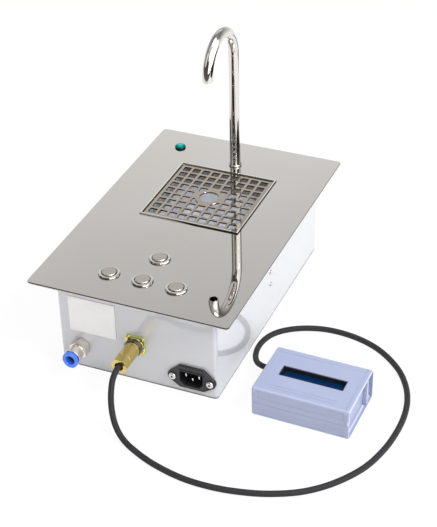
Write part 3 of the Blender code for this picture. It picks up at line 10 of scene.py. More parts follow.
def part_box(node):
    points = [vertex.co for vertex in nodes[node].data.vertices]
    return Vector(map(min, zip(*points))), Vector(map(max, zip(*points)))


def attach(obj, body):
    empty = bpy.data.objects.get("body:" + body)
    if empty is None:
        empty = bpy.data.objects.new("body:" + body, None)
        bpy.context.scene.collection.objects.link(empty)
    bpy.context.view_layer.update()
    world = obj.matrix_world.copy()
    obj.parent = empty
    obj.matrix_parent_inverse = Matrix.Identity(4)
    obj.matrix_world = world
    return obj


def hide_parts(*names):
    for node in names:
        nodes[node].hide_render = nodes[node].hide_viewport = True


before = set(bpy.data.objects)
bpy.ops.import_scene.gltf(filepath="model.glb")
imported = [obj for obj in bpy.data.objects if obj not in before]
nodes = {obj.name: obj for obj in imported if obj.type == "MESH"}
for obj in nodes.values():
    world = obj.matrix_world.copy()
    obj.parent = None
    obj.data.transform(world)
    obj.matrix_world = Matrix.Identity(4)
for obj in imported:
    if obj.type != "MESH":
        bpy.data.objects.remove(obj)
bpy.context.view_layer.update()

# Sizes and places in metres; TRAY_MIDDLE and the numbers in the pieces' own calls are in millimetres

MM = 0.001
START_SIZE = 1.0 * MM
MERGE_DISTANCE = 0.01 * MM
GRAIN_DEPTH = 0.1 * MM
NOISE_ROUGHNESS = 0.55
WALL_FACE = -0.14385
PLATE_SEAT = 0.1066
TRAY_MIDDLE = (-0.5, 43.75)
SPOUT_FOOT = 0.1164
SPOUT_BEND = (0.0, 0.0819, 0.2428)
SPOUT_RADIUS = 5.7 * MM
SPOUT_WALL = 0.9 * MM
LAMP_PLACE = (-0.0719, 0.12995)
LAMP_REACH = 0.0066
CASE_PLACE = Matrix.Translation((0.17505, -0.11775, 0.0)) @ Matrix.Rotation(math.radians(-1.0), 4, "Z")


def add_object(name, data):
    item = bpy.data.objects.new(name, data)
    bpy.context.scene.collection.objects.link(item)
    return item


def at(x, y, z):
    """A place in millimetres."""
    return Matrix.Translation((x * MM, y * MM, z * MM))


# Camera

CAMERA_PLACE = (0.52509, -1.14323, 0.91189)
CAMERA_ANGLES = (23.514, 34.467, -1.401)
FOCAL_LENGTH = 98.4
SENSOR_WIDTH = 36.0


def place_camera():
    azimuth, elevation, roll = (math.radians(angle) for angle in CAMERA_ANGLES)
    back = Vector((math.cos(elevation) * math.sin(azimuth), -math.cos(elevation) * math.cos(azimuth),
        math.sin(elevation)))
    level = Vector((math.cos(azimuth), math.sin(azimuth), 0.0))
    upright = back.cross(level)
    right = level * math.cos(roll) + upright * math.sin(roll)
    up = upright * math.cos(roll) - level * math.sin(roll)
    data = bpy.data.cameras.new("camera")
    data.lens = FOCAL_LENGTH
    data.sensor_width = SENSOR_WIDTH
    camera = add_object("camera", data)
    turn = Matrix((right, up, back)).transposed().to_4x4()
    camera.matrix_world = Matrix.Translation(CAMERA_PLACE) @ turn
    bpy.context.scene.camera = camera


# Modelling helpers

def clear_selection():
    active = bpy.context.view_layer.objects.active
    if active is not None and active.mode != "OBJECT":
        bpy.ops.object.mode_set(mode="OBJECT")
    bpy.ops.object.select_all(action="DESELECT")


def take(piece):
    clear_selection()
    piece.select_set(True)
    bpy.context.view_layer.objects.active = piece


def open_mesh(piece, pick="ALL"):
    take(piece)
    bpy.ops.object.mode_set(mode="EDIT")
    bpy.ops.mesh.select_mode(type="VERT")
    bpy.ops.mesh.select_all(action="SELECT" if pick == "ALL" else "DESELECT")


def close_mesh():
    bpy.ops.object.mode_set(mode="OBJECT")


def pick_faces(piece, test):
    """Selects the faces whose middle and normal pass the test."""
    bpy.ops.mesh.select_mode(type="FACE")
    bpy.ops.mesh.select_all(action="DESELECT")
    mesh = bmesh.from_edit_mesh(piece.data)
    for face in mesh.faces:
        face.select_set(test(face.calc_center_median(), face.normal))
    bmesh.update_edit_mesh(piece.data)


def pick_edges(piece, test):
    """Selects the edges whose two ends pass the test."""
    bpy.ops.mesh.select_mode(type="EDGE")
    bpy.ops.mesh.select_all(action="DESELECT")
    mesh = bmesh.from_edit_mesh(piece.data)
    for edge in mesh.edges:
        edge.select_set(test(edge.verts[0].co, edge.verts[1].co))
    mesh.select_flush_mode()
    bmesh.update_edit_mesh(piece.data)


def round_edges(piece, radius, segments, test=None):
    """Rounds the edges that pass the test, or those that stand upright."""
    open_mesh(piece)
    pick_edges(piece, test or (lambda a, b: abs(a.z - b.z) > 1.0 * MM))
    bpy.ops.mesh.bevel(offset=radius * MM, segments=segments)
    close_mesh()


def named(name):
    piece = bpy.context.view_layer.objects.active
    piece.name = name
    piece.data.name = name
    return piece


def settle(piece, place):
    """Puts the piece's place into its mesh."""
    piece.matrix_world = place
    take(piece)
    bpy.ops.object.transform_apply(location=True, rotation=True, scale=True)
    return piece


def tidy_mesh(piece):
    open_mesh(piece)
    bpy.ops.mesh.remove_doubles(threshold=MERGE_DISTANCE)
    bpy.ops.mesh.normals_make_consistent(inside=False)
    close_mesh()
    return piece


def smooth(piece, angle):
    take(piece)
    bpy.ops.object.shade_smooth_by_angle(angle=math.radians(angle))
    return piece


def apply_modifier(piece, kind, **values):
    take(piece)
    modifier = piece.modifiers.new(kind.lower(), kind)
    for name, value in values.items():
        setattr(modifier, name, value)
    bpy.ops.object.modifier_apply(modifier=modifier.name)
    return piece


def level_shading(piece, angle=35.0):
    """Smooth edges beside faces that stay flat."""
    smooth(piece, angle)
    return apply_modifier(piece, "WEIGHTED_NORMAL", mode="FACE_AREA", weight=100, keep_sharp=True)


def ease(piece, width, segments, angle=40.0):
    """Rounds the sharp edges."""
    apply_modifier(piece, "BEVEL", width=width, segments=segments, limit_method="ANGLE",
        angle_limit=math.radians(angle), use_clamp_overlap=True)
    return level_shading(piece)


def cut(piece, tool, operation="DIFFERENCE"):
    apply_modifier(piece, "BOOLEAN", object=tool, operation=operation, solver="EXACT")
    bpy.data.objects.remove(tool)
    return piece


def extrude(offset):
    bpy.ops.mesh.extrude_region_move(TRANSFORM_OT_translate={"value": offset})


def draw(name, points):
    """Starts a piece as a chain of edges through the points."""
    clear_selection()
    bpy.ops.mesh.primitive_plane_add(size=START_SIZE)
    piece = named(name)
    open_mesh(piece)
    bpy.ops.mesh.merge(type="CENTER")
    bpy.ops.transform.translate(value=points[0])
    for before, after in zip(points, points[1:]):
        extrude(after - before)
    return piece


def lathe(name, profile, steps, closed=False):
    """Spins a profile of (radius, height) points, in millimetres, once round +Z."""
    points = [Vector((r * MM, 0.0, h * MM)) for r, h in profile]
    piece = draw(name, points)
    if closed:
        extrude(points[0] - points[-1])
    bpy.ops.mesh.select_all(action="SELECT")
    bpy.ops.mesh.spin(steps=steps, angle=2 * math.pi, center=(0.0, 0.0, 0.0), axis=(0.0, 0.0, 1.0))
    close_mesh()
    return tidy_mesh(piece)


def block(name, low, high):
    """A box between two corners, in millimetres."""
    clear_selection()
    bpy.ops.mesh.primitive_cube_add(size=1.0)
    piece = named(name)
    low, high = Vector(low) * MM, Vector(high) * MM
    size = high - low
    return settle(piece, Matrix.Translation((low + high) / 2) @ Matrix.Diagonal((*size, 1.0)))


def rod(name, sides, radius, low, high, turn=0.0):
    """A prism round +Z between two heights, in millimetres."""
    clear_selection()
    bpy.ops.mesh.primitive_cylinder_add(vertices=sides, radius=radius * MM, depth=(high - low) * MM)
    piece = named(name)
    return settle(piece, at(0.0, 0.0, (low + high) / 2) @ Matrix.Rotation(turn, 4, "Z"))


def weld(name, first, *others):
    """Joins pieces of one material to one mesh."""
    take(first)
    for other in others:
        other.select_set(True)
    bpy.ops.object.join()
    return named(name)


def from_node(node, name, width=0.0, segments=2):
    """A merged copy of a CAD node, with its edges eased."""
    clear_selection()
    piece = add_object(name, nodes[node].data.copy())
    piece.data.materials.clear()
    open_mesh(piece)
    bpy.ops.mesh.remove_doubles(threshold=MERGE_DISTANCE)
    bpy.ops.mesh.customdata_custom_splitnormals_clear()
    bpy.ops.mesh.dissolve_limited(angle_limit=math.radians(0.5))
    close_mesh()
    if width:
        ease(piece, width, segments)
    else:
        smooth(piece, 35.0)
    return piece


def repeat(pattern, name, places, finish_name, body="root", stands_for=None):
    """Numbered copies of a pattern, which then goes."""
    for number, place in enumerate(places, 1):
        piece = settle(add_object(name.format(number), pattern.data.copy()), place)
        hidden = [stands_for.format(number)] if stands_for else ()
        dress(piece, finish_name, hidden, body.format(number))
    bpy.data.objects.remove(pattern)


def on_wall(x, z, out=0.0):
    """Turns a piece's own +Z out of the front wall, in millimetres."""
    return Matrix.Translation((x * MM, WALL_FACE - out * MM, z * MM)) @ Matrix.Rotation(math.pi / 2, 4, "X")


def dress(piece, finish_name, stands_for=(), body="root"):
    """Gives a piece its finish, in a material slot, and its body; hides the nodes it stands for."""
    piece.data.materials.clear()
    piece.data.materials.append(FINISHES[finish_name])
    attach(piece, body)
    if stands_for:
        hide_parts(*stands_for)
    return piece


# Shader groups that several finishes share

MIX_INPUTS = (0, 6, 7)
MIX_RESULT = 2
PARITY_LIFT = 4096.0
SQUARE_ON = 0.975
LEAN = 0.25
FRONT_SHARE = 0.25
DUST_COLOUR = (0.42, 0.4, 0.38, 1.0)
# The dark brown of a painted contact shadow along a piece's foot
CONTACT_SHADOW_COLOUR = (0.06, 0.045, 0.035, 1.0)
EDGE_ROUGHER = 0.15


def new_group(name, inputs, outputs):
    group = bpy.data.node_groups.new(name, "ShaderNodeTree")
    for label, kind, value in inputs:
        socket = group.interface.new_socket(name=label, in_out="INPUT", socket_type="NodeSocket" + kind)
        if value is not None:
            socket.default_value = value
    for label, kind in outputs:
        group.interface.new_socket(name=label, in_out="OUTPUT", socket_type="NodeSocket" + kind)
    return group, group.nodes.new("NodeGroupInput"), group.nodes.new("NodeGroupOutput")


def wire(tree, source, target):
    """Links an output to an input, or puts a plain value into it."""
    if isinstance(source, bpy.types.NodeSocket):
        tree.links.new(source, target)
    else:
        target.default_value = source


def maths(tree, operation, *values, clamp=False):
    node = tree.nodes.new("ShaderNodeMath")
    node.operation = operation
    node.use_clamp = clamp
    for socket, value in zip(node.inputs, values):
        wire(tree, value, socket)
    return node.outputs[0]


def split(tree, vector):
    """The three parts of a vector."""
    node = tree.nodes.new("ShaderNodeSeparateXYZ")
    wire(tree, vector, node.inputs[0])
    return node.outputs


def surface_normal(tree):
    return split(tree, tree.nodes.new("ShaderNodeTexCoord").outputs["Normal"])


def noise(tree, vector, scale, detail=3.0):
    node = tree.nodes.new("ShaderNodeTexNoise")
    node.inputs["Detail"].default_value = detail
    node.inputs["Roughness"].default_value = NOISE_ROUGHNESS
    wire(tree, vector, node.inputs["Vector"])
    wire(tree, scale, node.inputs["Scale"])
    return node.outputs["Fac"]


def blend_colours(tree, factor, first, second):
    node = tree.nodes.new("ShaderNodeMix")
    node.data_type = "RGBA"
    for number, value in zip(MIX_INPUTS, (factor, first, second)):
        wire(tree, value, node.inputs[number])
    return node.outputs[MIX_RESULT]


def make_surface_grain():
    """Slow change of colour and fine change of roughness, with a height for a bump."""
    group, source, sink = new_group(
        "surface_grain",
        [("Vector", "Vector", None), ("Colour", "Color", (0.5, 0.5, 0.5, 1.0)),
         ("Second Colour", "Color", (0.5, 0.5, 0.5, 1.0)), ("Patch Scale", "Float", 20.0),
         ("Grain Scale", "Float", 900.0), ("Roughness", "Float", 0.4), ("Roughness Change", "Float", 0.1)],
        [("Colour", "Color"), ("Roughness", "Float"), ("Height", "Float")])
    vector = source.outputs["Vector"]
    patches = noise(group, vector, source.outputs["Patch Scale"], 4.0)
    grain = noise(group, vector, source.outputs["Grain Scale"], 2.0)
    spread = maths(group, "MULTIPLY_ADD", patches, 2.4, -0.7, clamp=True)
    wire(group, blend_colours(group, spread, source.outputs["Colour"], source.outputs["Second Colour"]),
        sink.inputs["Colour"])
    both = maths(group, "ADD", maths(group, "MULTIPLY", patches, 0.6), maths(group, "MULTIPLY", grain, 0.4))
    change = maths(group, "MULTIPLY", maths(group, "SUBTRACT", both, 0.5), source.outputs["Roughness Change"])
    rough = maths(group, "ADD", source.outputs["Roughness"], change, clamp=True)
    wire(group, rough, sink.inputs["Roughness"])
    wire(group, grain, sink.inputs["Height"])
    return group


def make_dust_specks():
    """Small round specks scattered over a surface."""
    group, source, sink = new_group(
        "dust_specks",
        [("Vector", "Vector", None), ("Scale", "Float", 120.0), ("Size", "Float", 0.08),
         ("Share", "Float", 0.3)],
        [("Mask", "Float")])
    cells = group.nodes.new("ShaderNodeTexVoronoi")
    wire(group, source.outputs["Vector"], cells.inputs["Vector"])
    wire(group, source.outputs["Scale"], cells.inputs["Scale"])
    chance = group.nodes.new("ShaderNodeSeparateColor")
    wire(group, cells.outputs["Color"], chance.inputs[0])
    chosen = maths(group, "LESS_THAN", chance.outputs[0], source.outputs["Share"])
    size = maths(group, "MULTIPLY", source.outputs["Size"], chance.outputs[1])
    near = maths(group, "LESS_THAN", cells.outputs["Distance"], size)
    wire(group, maths(group, "MULTIPLY", chosen, near), sink.inputs["Mask"])
    return group


def make_braid_weave():
    """Strands that cross over and under round a cable; reads (along, round) from its UV map."""
    group, source, sink = new_group(
        "braid_weave",
        [("Vector", "Vector", None), ("Strands", "Float", 8.0), ("Steepness", "Float", 1.0)],
        [("Height", "Float"), ("Over", "Float")])
    parts = split(group, source.outputs["Vector"])
    along = maths(group, "MULTIPLY", parts[0], source.outputs["Steepness"])
    around = maths(group, "MULTIPLY", parts[1], source.outputs["Strands"])
    first, second = maths(group, "ADD", along, around), maths(group, "SUBTRACT", along, around)
    floors = maths(group, "ADD", maths(group, "FLOOR", second), PARITY_LIFT)
    parity = maths(group, "MODULO", maths(group, "ADD", maths(group, "FLOOR", first), floors), 2.0)
    over = maths(group, "GREATER_THAN", parity, 0.5)
    crown_a = maths(group, "SINE", maths(group, "MULTIPLY", maths(group, "FRACT", first), math.pi))
    crown_b = maths(group, "SINE", maths(group, "MULTIPLY", maths(group, "FRACT", second), math.pi))
    mixed = group.nodes.new("ShaderNodeMix")
    wire(group, over, mixed.inputs[0])
    wire(group, crown_a, mixed.inputs[2])
    wire(group, crown_b, mixed.inputs[3])
    wire(group, mixed.outputs[0], sink.inputs["Height"])
    wire(group, over, sink.inputs["Over"])
    return group


GRAIN = make_surface_grain()
SPECKS = make_dust_specks()
WEAVE = make_braid_weave()


def place_group(tree, group, vector, **values):
    node = tree.nodes.new("ShaderNodeGroup")
    node.node_tree = group
    wire(tree, vector, node.inputs["Vector"])
    for name, value in values.items():
        node.inputs[name.replace("_", " ")].default_value = value
    return node


def start_material(name, **sockets):
    material = bpy.data.materials.new(name)
    material.use_nodes = True
    tree = material.node_tree
    shader = next(n for n in tree.nodes if n.type == "BSDF_PRINCIPLED")
    for label, value in sockets.items():
        shader.inputs[label.replace("_", " ")].default_value = value
    return material, tree, shader


def object_vector(tree, scale=(1.0, 1.0, 1.0), centre=(0.0, 0.0, 0.0), turn=(0.0, 0.0, 0.0)):
    """Object coordinates, centred on a place and stretched."""
    coordinates = tree.nodes.new("ShaderNodeTexCoord")
    mapping = tree.nodes.new("ShaderNodeMapping")
    mapping.vector_type = "POINT"
    mapping.inputs["Scale"].default_value = scale
    mapping.inputs["Rotation"].default_value = turn
    mapping.inputs["Location"].default_value = [-c * s for c, s in zip(centre, scale)]
    wire(tree, coordinates.outputs["Object"], mapping.inputs["Vector"])
    return mapping.outputs["Vector"]


def add_bump(tree, shader, height, strength, distance):
    bump = tree.nodes.new("ShaderNodeBump")
    bump.inputs["Strength"].default_value = strength
    bump.inputs["Distance"].default_value = distance
    wire(tree, height, bump.inputs["Height"])
    wire(tree, bump.outputs["Normal"], shader.inputs["Normal"])


def upright_mask(tree):
    """1 on faces that stand upright, 0 on level ones."""
    return maths(tree, "LESS_THAN", maths(tree, "ABSOLUTE", surface_normal(tree)[2]), 0.5)


def painted_highlight_mask(tree):
    """Where a painted highlight goes: 1 on narrow slanting faces along right-hand edges, a quarter on upper
    front ones, 0 elsewhere.
    """
    parts = surface_normal(tree)
    most = maths(tree, "ABSOLUTE", parts[2])
    for side in (0, 1):
        most = maths(tree, "MAXIMUM", most, maths(tree, "ABSOLUTE", parts[side]))
    upper = maths(tree, "GREATER_THAN", parts[2], LEAN)
    front = maths(tree, "MULTIPLY", upper, maths(tree, "LESS_THAN", parts[1], -LEAN))
    right = maths(tree, "GREATER_THAN", parts[0], LEAN)
    share = maths(tree, "MAXIMUM", maths(tree, "MULTIPLY", front, FRONT_SHARE), right)
    return maths(tree, "MULTIPLY", maths(tree, "LESS_THAN", most, SQUARE_ON), share)


def finish(name, colour, second, roughness, metallic=0.0, change=0.1, patch=25.0, grain=900.0, bump=0.1,
           stretch=(1.0, 1.0, 1.0), dust=0.0, edge=None, ridge=None, foot=None, **sockets):
    """A finish with patches of a second colour, a grain and, if wanted, dust, painted shade on upright faces,
    a painted highlight along slanting edges and a painted contact shadow along its foot.
    """
    material, tree, shader = start_material(name, Metallic=metallic, **sockets)
    vector = object_vector(tree, stretch)
    surface = place_group(tree, GRAIN, vector, Colour=(*colour, 1.0), Second_Colour=(*second, 1.0),
        Patch_Scale=patch, Grain_Scale=grain, Roughness=roughness, Roughness_Change=change)
    painted = surface.outputs["Colour"]
    if dust:
        specks = place_group(tree, SPECKS, object_vector(tree), Scale=160.0, Size=0.1, Share=dust)
        painted = blend_colours(tree, specks.outputs["Mask"], painted, DUST_COLOUR)
    rough = surface.outputs["Roughness"]
    # Painted shade: upright faces take the edge colour and turn rougher
    if edge:
        upright = upright_mask(tree)
        painted = blend_colours(tree, upright, painted, (*edge, 1.0))
        rough = maths(tree, "MULTIPLY_ADD", upright, EDGE_ROUGHER, rough)
    # Painted highlight: narrow slanting faces along edges take a lighter colour
    if ridge:
        painted = blend_colours(tree, painted_highlight_mask(tree), painted, (*ridge, 1.0))
    # Painted contact shadow: a dark brown band below the given height
    if foot:
        place = split(tree, object_vector(tree))
        painted = blend_colours(tree, maths(tree, "LESS_THAN", place[2], foot), painted, CONTACT_SHADOW_COLOUR)
    wire(tree, painted, shader.inputs["Base Color"])
    wire(tree, rough, shader.inputs["Roughness"])
    if bump:
        add_bump(tree, shader, surface.outputs["Height"], bump, GRAIN_DEPTH)
    return material


def make_mirror_steel():
    """Polished sheet with faint patches of tone, fine scratches and specks; its upright cut edges carry
    painted shade in dark brown.
    """
    material, tree, shader = start_material("mirror_steel", Metallic=1.0)
    vector = object_vector(tree)
    surface = place_group(tree, GRAIN, vector, Colour=(0.55, 0.53, 0.505, 1.0),
        Second_Colour=(0.58, 0.565, 0.54, 1.0), Patch_Scale=7.0, Grain_Scale=260.0, Roughness=0.02,
        Roughness_Change=0.015)
    scratches = noise(tree, object_vector(tree, (9.0, 700.0, 1.0), turn=(0, 0, 0.5)), 1.0, 2.0)
    line = maths(tree, "MULTIPLY", maths(tree, "GREATER_THAN", scratches, 0.74), 0.03)
    specks = place_group(tree, SPECKS, vector, Scale=95.0, Size=0.06, Share=0.35)
    worn = maths(tree, "MULTIPLY", specks.outputs["Mask"], 0.25)
    face = blend_colours(tree, worn, surface.outputs["Colour"], (0.25, 0.23, 0.2, 1.0))
    # Painted shade: upright faces turn dark brown and rougher
    upright = upright_mask(tree)
    wire(tree, blend_colours(tree, upright, face, (0.09, 0.065, 0.05, 1.0)), shader.inputs["Base Color"])
    rough = maths(tree, "ADD", maths(tree, "ADD", surface.outputs["Roughness"], line), worn, clamp=True)
    wire(tree, maths(tree, "MULTIPLY_ADD", upright, 0.4, rough), shader.inputs["Roughness"])
    return material


def make_cable_braid():
    material, tree, shader = start_material("cable_braid", Specular_IOR_Level=0.2, Sheen_Weight=0.03,
        Sheen_Roughness=0.4, Sheen_Tint=(0.75, 0.72, 0.8, 1.0))
    uv = tree.nodes.new("ShaderNodeUVMap")
    uv.uv_map = "along"
    weave = place_group(tree, WEAVE, uv.outputs["UV"], Strands=9.0, Steepness=520.0)
    fray = noise(tree, object_vector(tree), 700.0, 3.0)
    # Painted shade and highlight: strands that pass under are darker, and the crowns of the strands lighter
    # where the noise allows
    dark = blend_colours(tree, weave.outputs["Over"], (0.006, 0.006, 0.007, 1.0), (0.018, 0.016, 0.018, 1.0))
    light = blend_colours(tree, maths(tree, "MULTIPLY", weave.outputs["Height"], fray), dark,
        (0.05, 0.049, 0.056, 1.0))
    wire(tree, light, shader.inputs["Base Color"])
    wire(tree, maths(tree, "MULTIPLY_ADD", fray, 0.3, 0.4), shader.inputs["Roughness"])
    add_bump(tree, shader, weave.outputs["Height"], 0.6, 0.0003)
    return material


def make_lamp_lens():
    """Dark teal plastic with a painted glow that brightens its colour towards the middle of the dome."""
    material, tree, shader = start_material("lamp_lens", Roughness=0.06, Specular_IOR_Level=0.2)
    parts = split(tree, object_vector(tree, centre=(*LAMP_PLACE, 0.0)))
    across, along = (maths(tree, "POWER", parts[side], 2.0) for side in (0, 1))
    reach = maths(tree, "SQRT", maths(tree, "ADD", across, along))
    ribs = maths(tree, "MULTIPLY", noise(tree, object_vector(tree), 900.0), 0.25)
    # Painted glow: lighter teal towards the dome's middle, within LAMP_REACH, broken by fine ribs of noise
    bright = maths(tree, "SUBTRACT", 1.0, maths(tree, "DIVIDE", reach, LAMP_REACH))
    glow = maths(tree, "SUBTRACT", bright, ribs, clamp=True)
    wire(tree, blend_colours(tree, glow, (0.0, 0.03, 0.027, 1.0), (0.0, 0.72, 0.64, 1.0)),
        shader.inputs["Base Color"])
    return material


def make_display_glass():
    """Deep blue glass with a thin teal edge towards the back of the display."""
    material, tree, shader = start_material("display_glass", Roughness=0.12, Specular_IOR_Level=0.08)
    parts = split(tree, object_vector(tree, centre=(0.17505, -0.11725, 0.0)))
    edge = maths(tree, "MULTIPLY", maths(tree, "SUBTRACT", parts[1], 0.0028), 420.0, clamp=True)
    cloud = noise(tree, object_vector(tree), 60.0)
    deep = blend_colours(tree, cloud, (0.0, 0.013, 0.06, 1.0), (0.0, 0.019, 0.082, 1.0))
    wire(tree, blend_colours(tree, edge, deep, (0.0, 0.022, 0.06, 1.0)), shader.inputs["Base Color"])
    return material


def make_circuit_board():
    material, tree, shader = start_material("circuit_board", Roughness=0.35)
    vector = object_vector(tree)
    bricks = tree.nodes.new("ShaderNodeTexBrick")
    bricks.inputs["Scale"].default_value = 120.0
    bricks.inputs["Color1"].default_value = (0.01, 0.16, 0.06, 1.0)
    bricks.inputs["Color2"].default_value = (0.015, 0.2, 0.08, 1.0)
    bricks.inputs["Mortar"].default_value = (0.05, 0.3, 0.12, 1.0)
    wire(tree, vector, bricks.inputs["Vector"])
    wire(tree, blend_colours(tree, noise(tree, vector, 90.0), bricks.outputs["Color"],
        (0.01, 0.12, 0.05, 1.0)), shader.inputs["Base Color"])
    return material


def plain(*values, **extra):
    return values, extra


PLAIN_FINISHES = {
    "chrome_tube": plain((0.7, 0.685, 0.66), (0.74, 0.725, 0.7), 0.06, 1.0, 0.03, 30.0, 400.0, 0.0),
    "polished_ring": plain((0.66, 0.65, 0.61), (0.72, 0.7, 0.66), 0.03, 1.0, 0.04, 90.0, 1400.0, 0.0),
    "satin_cap": plain((0.55, 0.515, 0.47), (0.585, 0.55, 0.505), 0.3, 1.0, 0.15, 120.0, 2200.0, 0.1,
        stretch=(1.0, 0.25, 1.0)),
    # Grille steel: the dark edge colour is painted shade on the upright walls of the openings and the rim
    "grille_steel": plain((0.37, 0.325, 0.28), (0.41, 0.365, 0.32), 0.05, 1.0, 0.06, 40.0, 1500.0, 0.0,
        stretch=(1.0, 0.2, 1.0), edge=(0.05, 0.04, 0.035)),
    # Tray steel: the grey edge colour is painted shade on the basin's upright walls, darker than its floor
    "tray_steel": plain((0.8, 0.85, 0.93), (0.88, 0.93, 1.0), 0.3, 0.15, 0.1, 30.0, 900.0, 0.05,
        stretch=(1.0, 0.15, 1.0), edge=(0.34, 0.34, 0.325)),
    "plain_steel": plain((0.5, 0.5, 0.5), (0.6, 0.6, 0.6), 0.32, 1.0, 0.2, 90.0, 1800.0, 0.15),
    "screw_steel": plain((0.66, 0.66, 0.67), (0.72, 0.72, 0.72), 0.16, 1.0, 0.1, 300.0, 3000.0, 0.1),
    # The enamel's foot is a painted contact shadow in dark brown over the lowest 1.3 mm
    "white_enamel": plain((0.49, 0.512, 0.55), (0.515, 0.537, 0.575), 0.3, 0.0, 0.05, 9.0, 650.0, 0.03,
        dust=0.02, foot=0.0013, Coat_Weight=1.0, Coat_Roughness=0.06, Coat_IOR=1.7),
    "seal_rubber": plain((0.66, 0.68, 0.73), (0.72, 0.74, 0.79), 0.7, 0.0, 0.1, 60.0, 1500.0, 0.3),
    "label_film": plain((0.765, 0.78, 0.785), (0.805, 0.82, 0.825), 0.55, 0.0, 0.1, 50.0, 2600.0, 0.15),
    "black_rubber": plain((0.02, 0.018, 0.017), (0.035, 0.03, 0.028), 0.5, 0.0, 0.2, 90.0, 1600.0, 0.3),
    "nickel": plain((0.72, 0.68, 0.63), (0.8, 0.76, 0.71), 0.17, 1.0, 0.15, 130.0, 1600.0, 0.12,
        stretch=(1.0, 0.3, 1.0)),
    "blue_collar": plain((0.03, 0.15, 0.72), (0.06, 0.22, 0.84), 0.3, 0.0, 0.1, 160.0, 2400.0, 0.15,
        Coat_Weight=0.4),
    "yellow_chromate": plain((0.9, 0.88, 0.22), (0.7, 0.82, 0.34), 0.2, 0.75, 0.2, 160.0, 1600.0, 0.15),
    "gunmetal": plain((0.15, 0.125, 0.105), (0.22, 0.185, 0.16), 0.15, 1.0, 0.15, 160.0, 1900.0, 0.2),
    "turned_brass": plain((0.62, 0.47, 0.14), (0.72, 0.57, 0.21), 0.18, 1.0, 0.2, 220.0, 1700.0, 0.2,
        stretch=(1.0, 0.06, 1.0)),
    "black_plastic": plain((0.012, 0.012, 0.014), (0.02, 0.02, 0.023), 0.36, 0.0, 0.2, 60.0, 2200.0,
        0.25),
    "zinc_sheet": plain((0.5, 0.52, 0.54), (0.62, 0.64, 0.67), 0.35, 1.0, 0.2, 120.0, 900.0, 0.1),
    "motor_can": plain((0.2, 0.2, 0.22), (0.28, 0.28, 0.3), 0.35, 1.0, 0.2, 60.0, 1200.0, 0.1),
    "white_nylon": plain((0.76, 0.76, 0.73), (0.82, 0.82, 0.8), 0.45, 0.0, 0.1, 60.0, 1600.0, 0.15),
    "silicone": plain((0.66, 0.67, 0.64), (0.74, 0.75, 0.72), 0.35, 0.0, 0.1, 60.0, 1400.0, 0.1,
        Subsurface_Weight=0.3, Subsurface_Scale=0.003),
    # Lilac plastic: a painted highlight in lighter lilac along right-hand and upper front edges, and dust
    # specks
    "lilac_plastic": plain((0.3, 0.34, 0.5), (0.325, 0.365, 0.53), 0.36, 0.0, 0.12, 14.0, 1900.0, 0.14,
        dust=0.02, ridge=(0.52, 0.56, 0.72), Coat_Weight=0.25, Coat_Roughness=0.2),
}


def make_finishes():
    made = {name: finish(name, *values, **extra) for name, (values, extra) in PLAIN_FINISHES.items()}
    made.update(mirror_steel=make_mirror_steel(), cable_braid=make_cable_braid(), lamp_lens=make_lamp_lens(),
        display_glass=make_display_glass(), circuit_board=make_circuit_board())
    return made


def button_nodes(kind):
    return [f"button_{number}_{kind}" for number in (1, 2, 3, 4)]


# The finish of each CAD node

KEPT = {
    "mirror_steel": ("top_plate",),
    "tray_steel": ("drip_tray",),
    "grille_steel": ("drip_grille",),
    "white_enamel": ("housing", "bottom_cover"),
    "seal_rubber": ("rim_seal",),
    "label_film": ("rating_label",),
    "black_rubber": ("spout_bush", "cable_grommet", "spout_ring"),
    "plain_steel": ("spout_nut", "indicator_nut", "pump_rotor", *button_nodes("spring")),
    "nickel": ("inlet_locknut", "inlet_fitting"),
    "lilac_plastic": ("display_case_top", "display_case_bottom", "display_end_left", "display_end_right"),
    "black_plastic": ("lcd_bezel", "power_inlet"),
    "display_glass": ("lcd_glass",),
    "zinc_sheet": ("pump_bracket", "power_supply"),
    "motor_can": ("pump_motor",),
    "white_nylon": ("pump_head", "pump_roller_1", "pump_roller_2", "pump_roller_3", "inlet_joiner",
        "outlet_joiner"),
    "silicone": ("pump_tube", "inlet_hose", "outlet_hose"),
    "circuit_board": ("control_board",),
    "chrome_tube": ("spout_tube",),
    "lamp_lens": ("indicator_lens",),
    "blue_collar": ("inlet_collar",),
    "yellow_chromate": ("socket_flange",),
    "gunmetal": ("coupling_ring",),
    "turned_brass": ("backshell",),
    "screw_steel": ("inlet_screw_1", "inlet_screw_2", "side_rivet_1", "side_rivet_2"),
    "cable_braid": ("display_cable",),
    "polished_ring": button_nodes("body"),
    "satin_cap": button_nodes("cap"),
}


def dress_nodes():
    for finish_name, members in KEPT.items():
        for member in members:
            materials = nodes[member].data.materials
            materials.clear()
            materials.append(FINISHES[finish_name])


# Cable

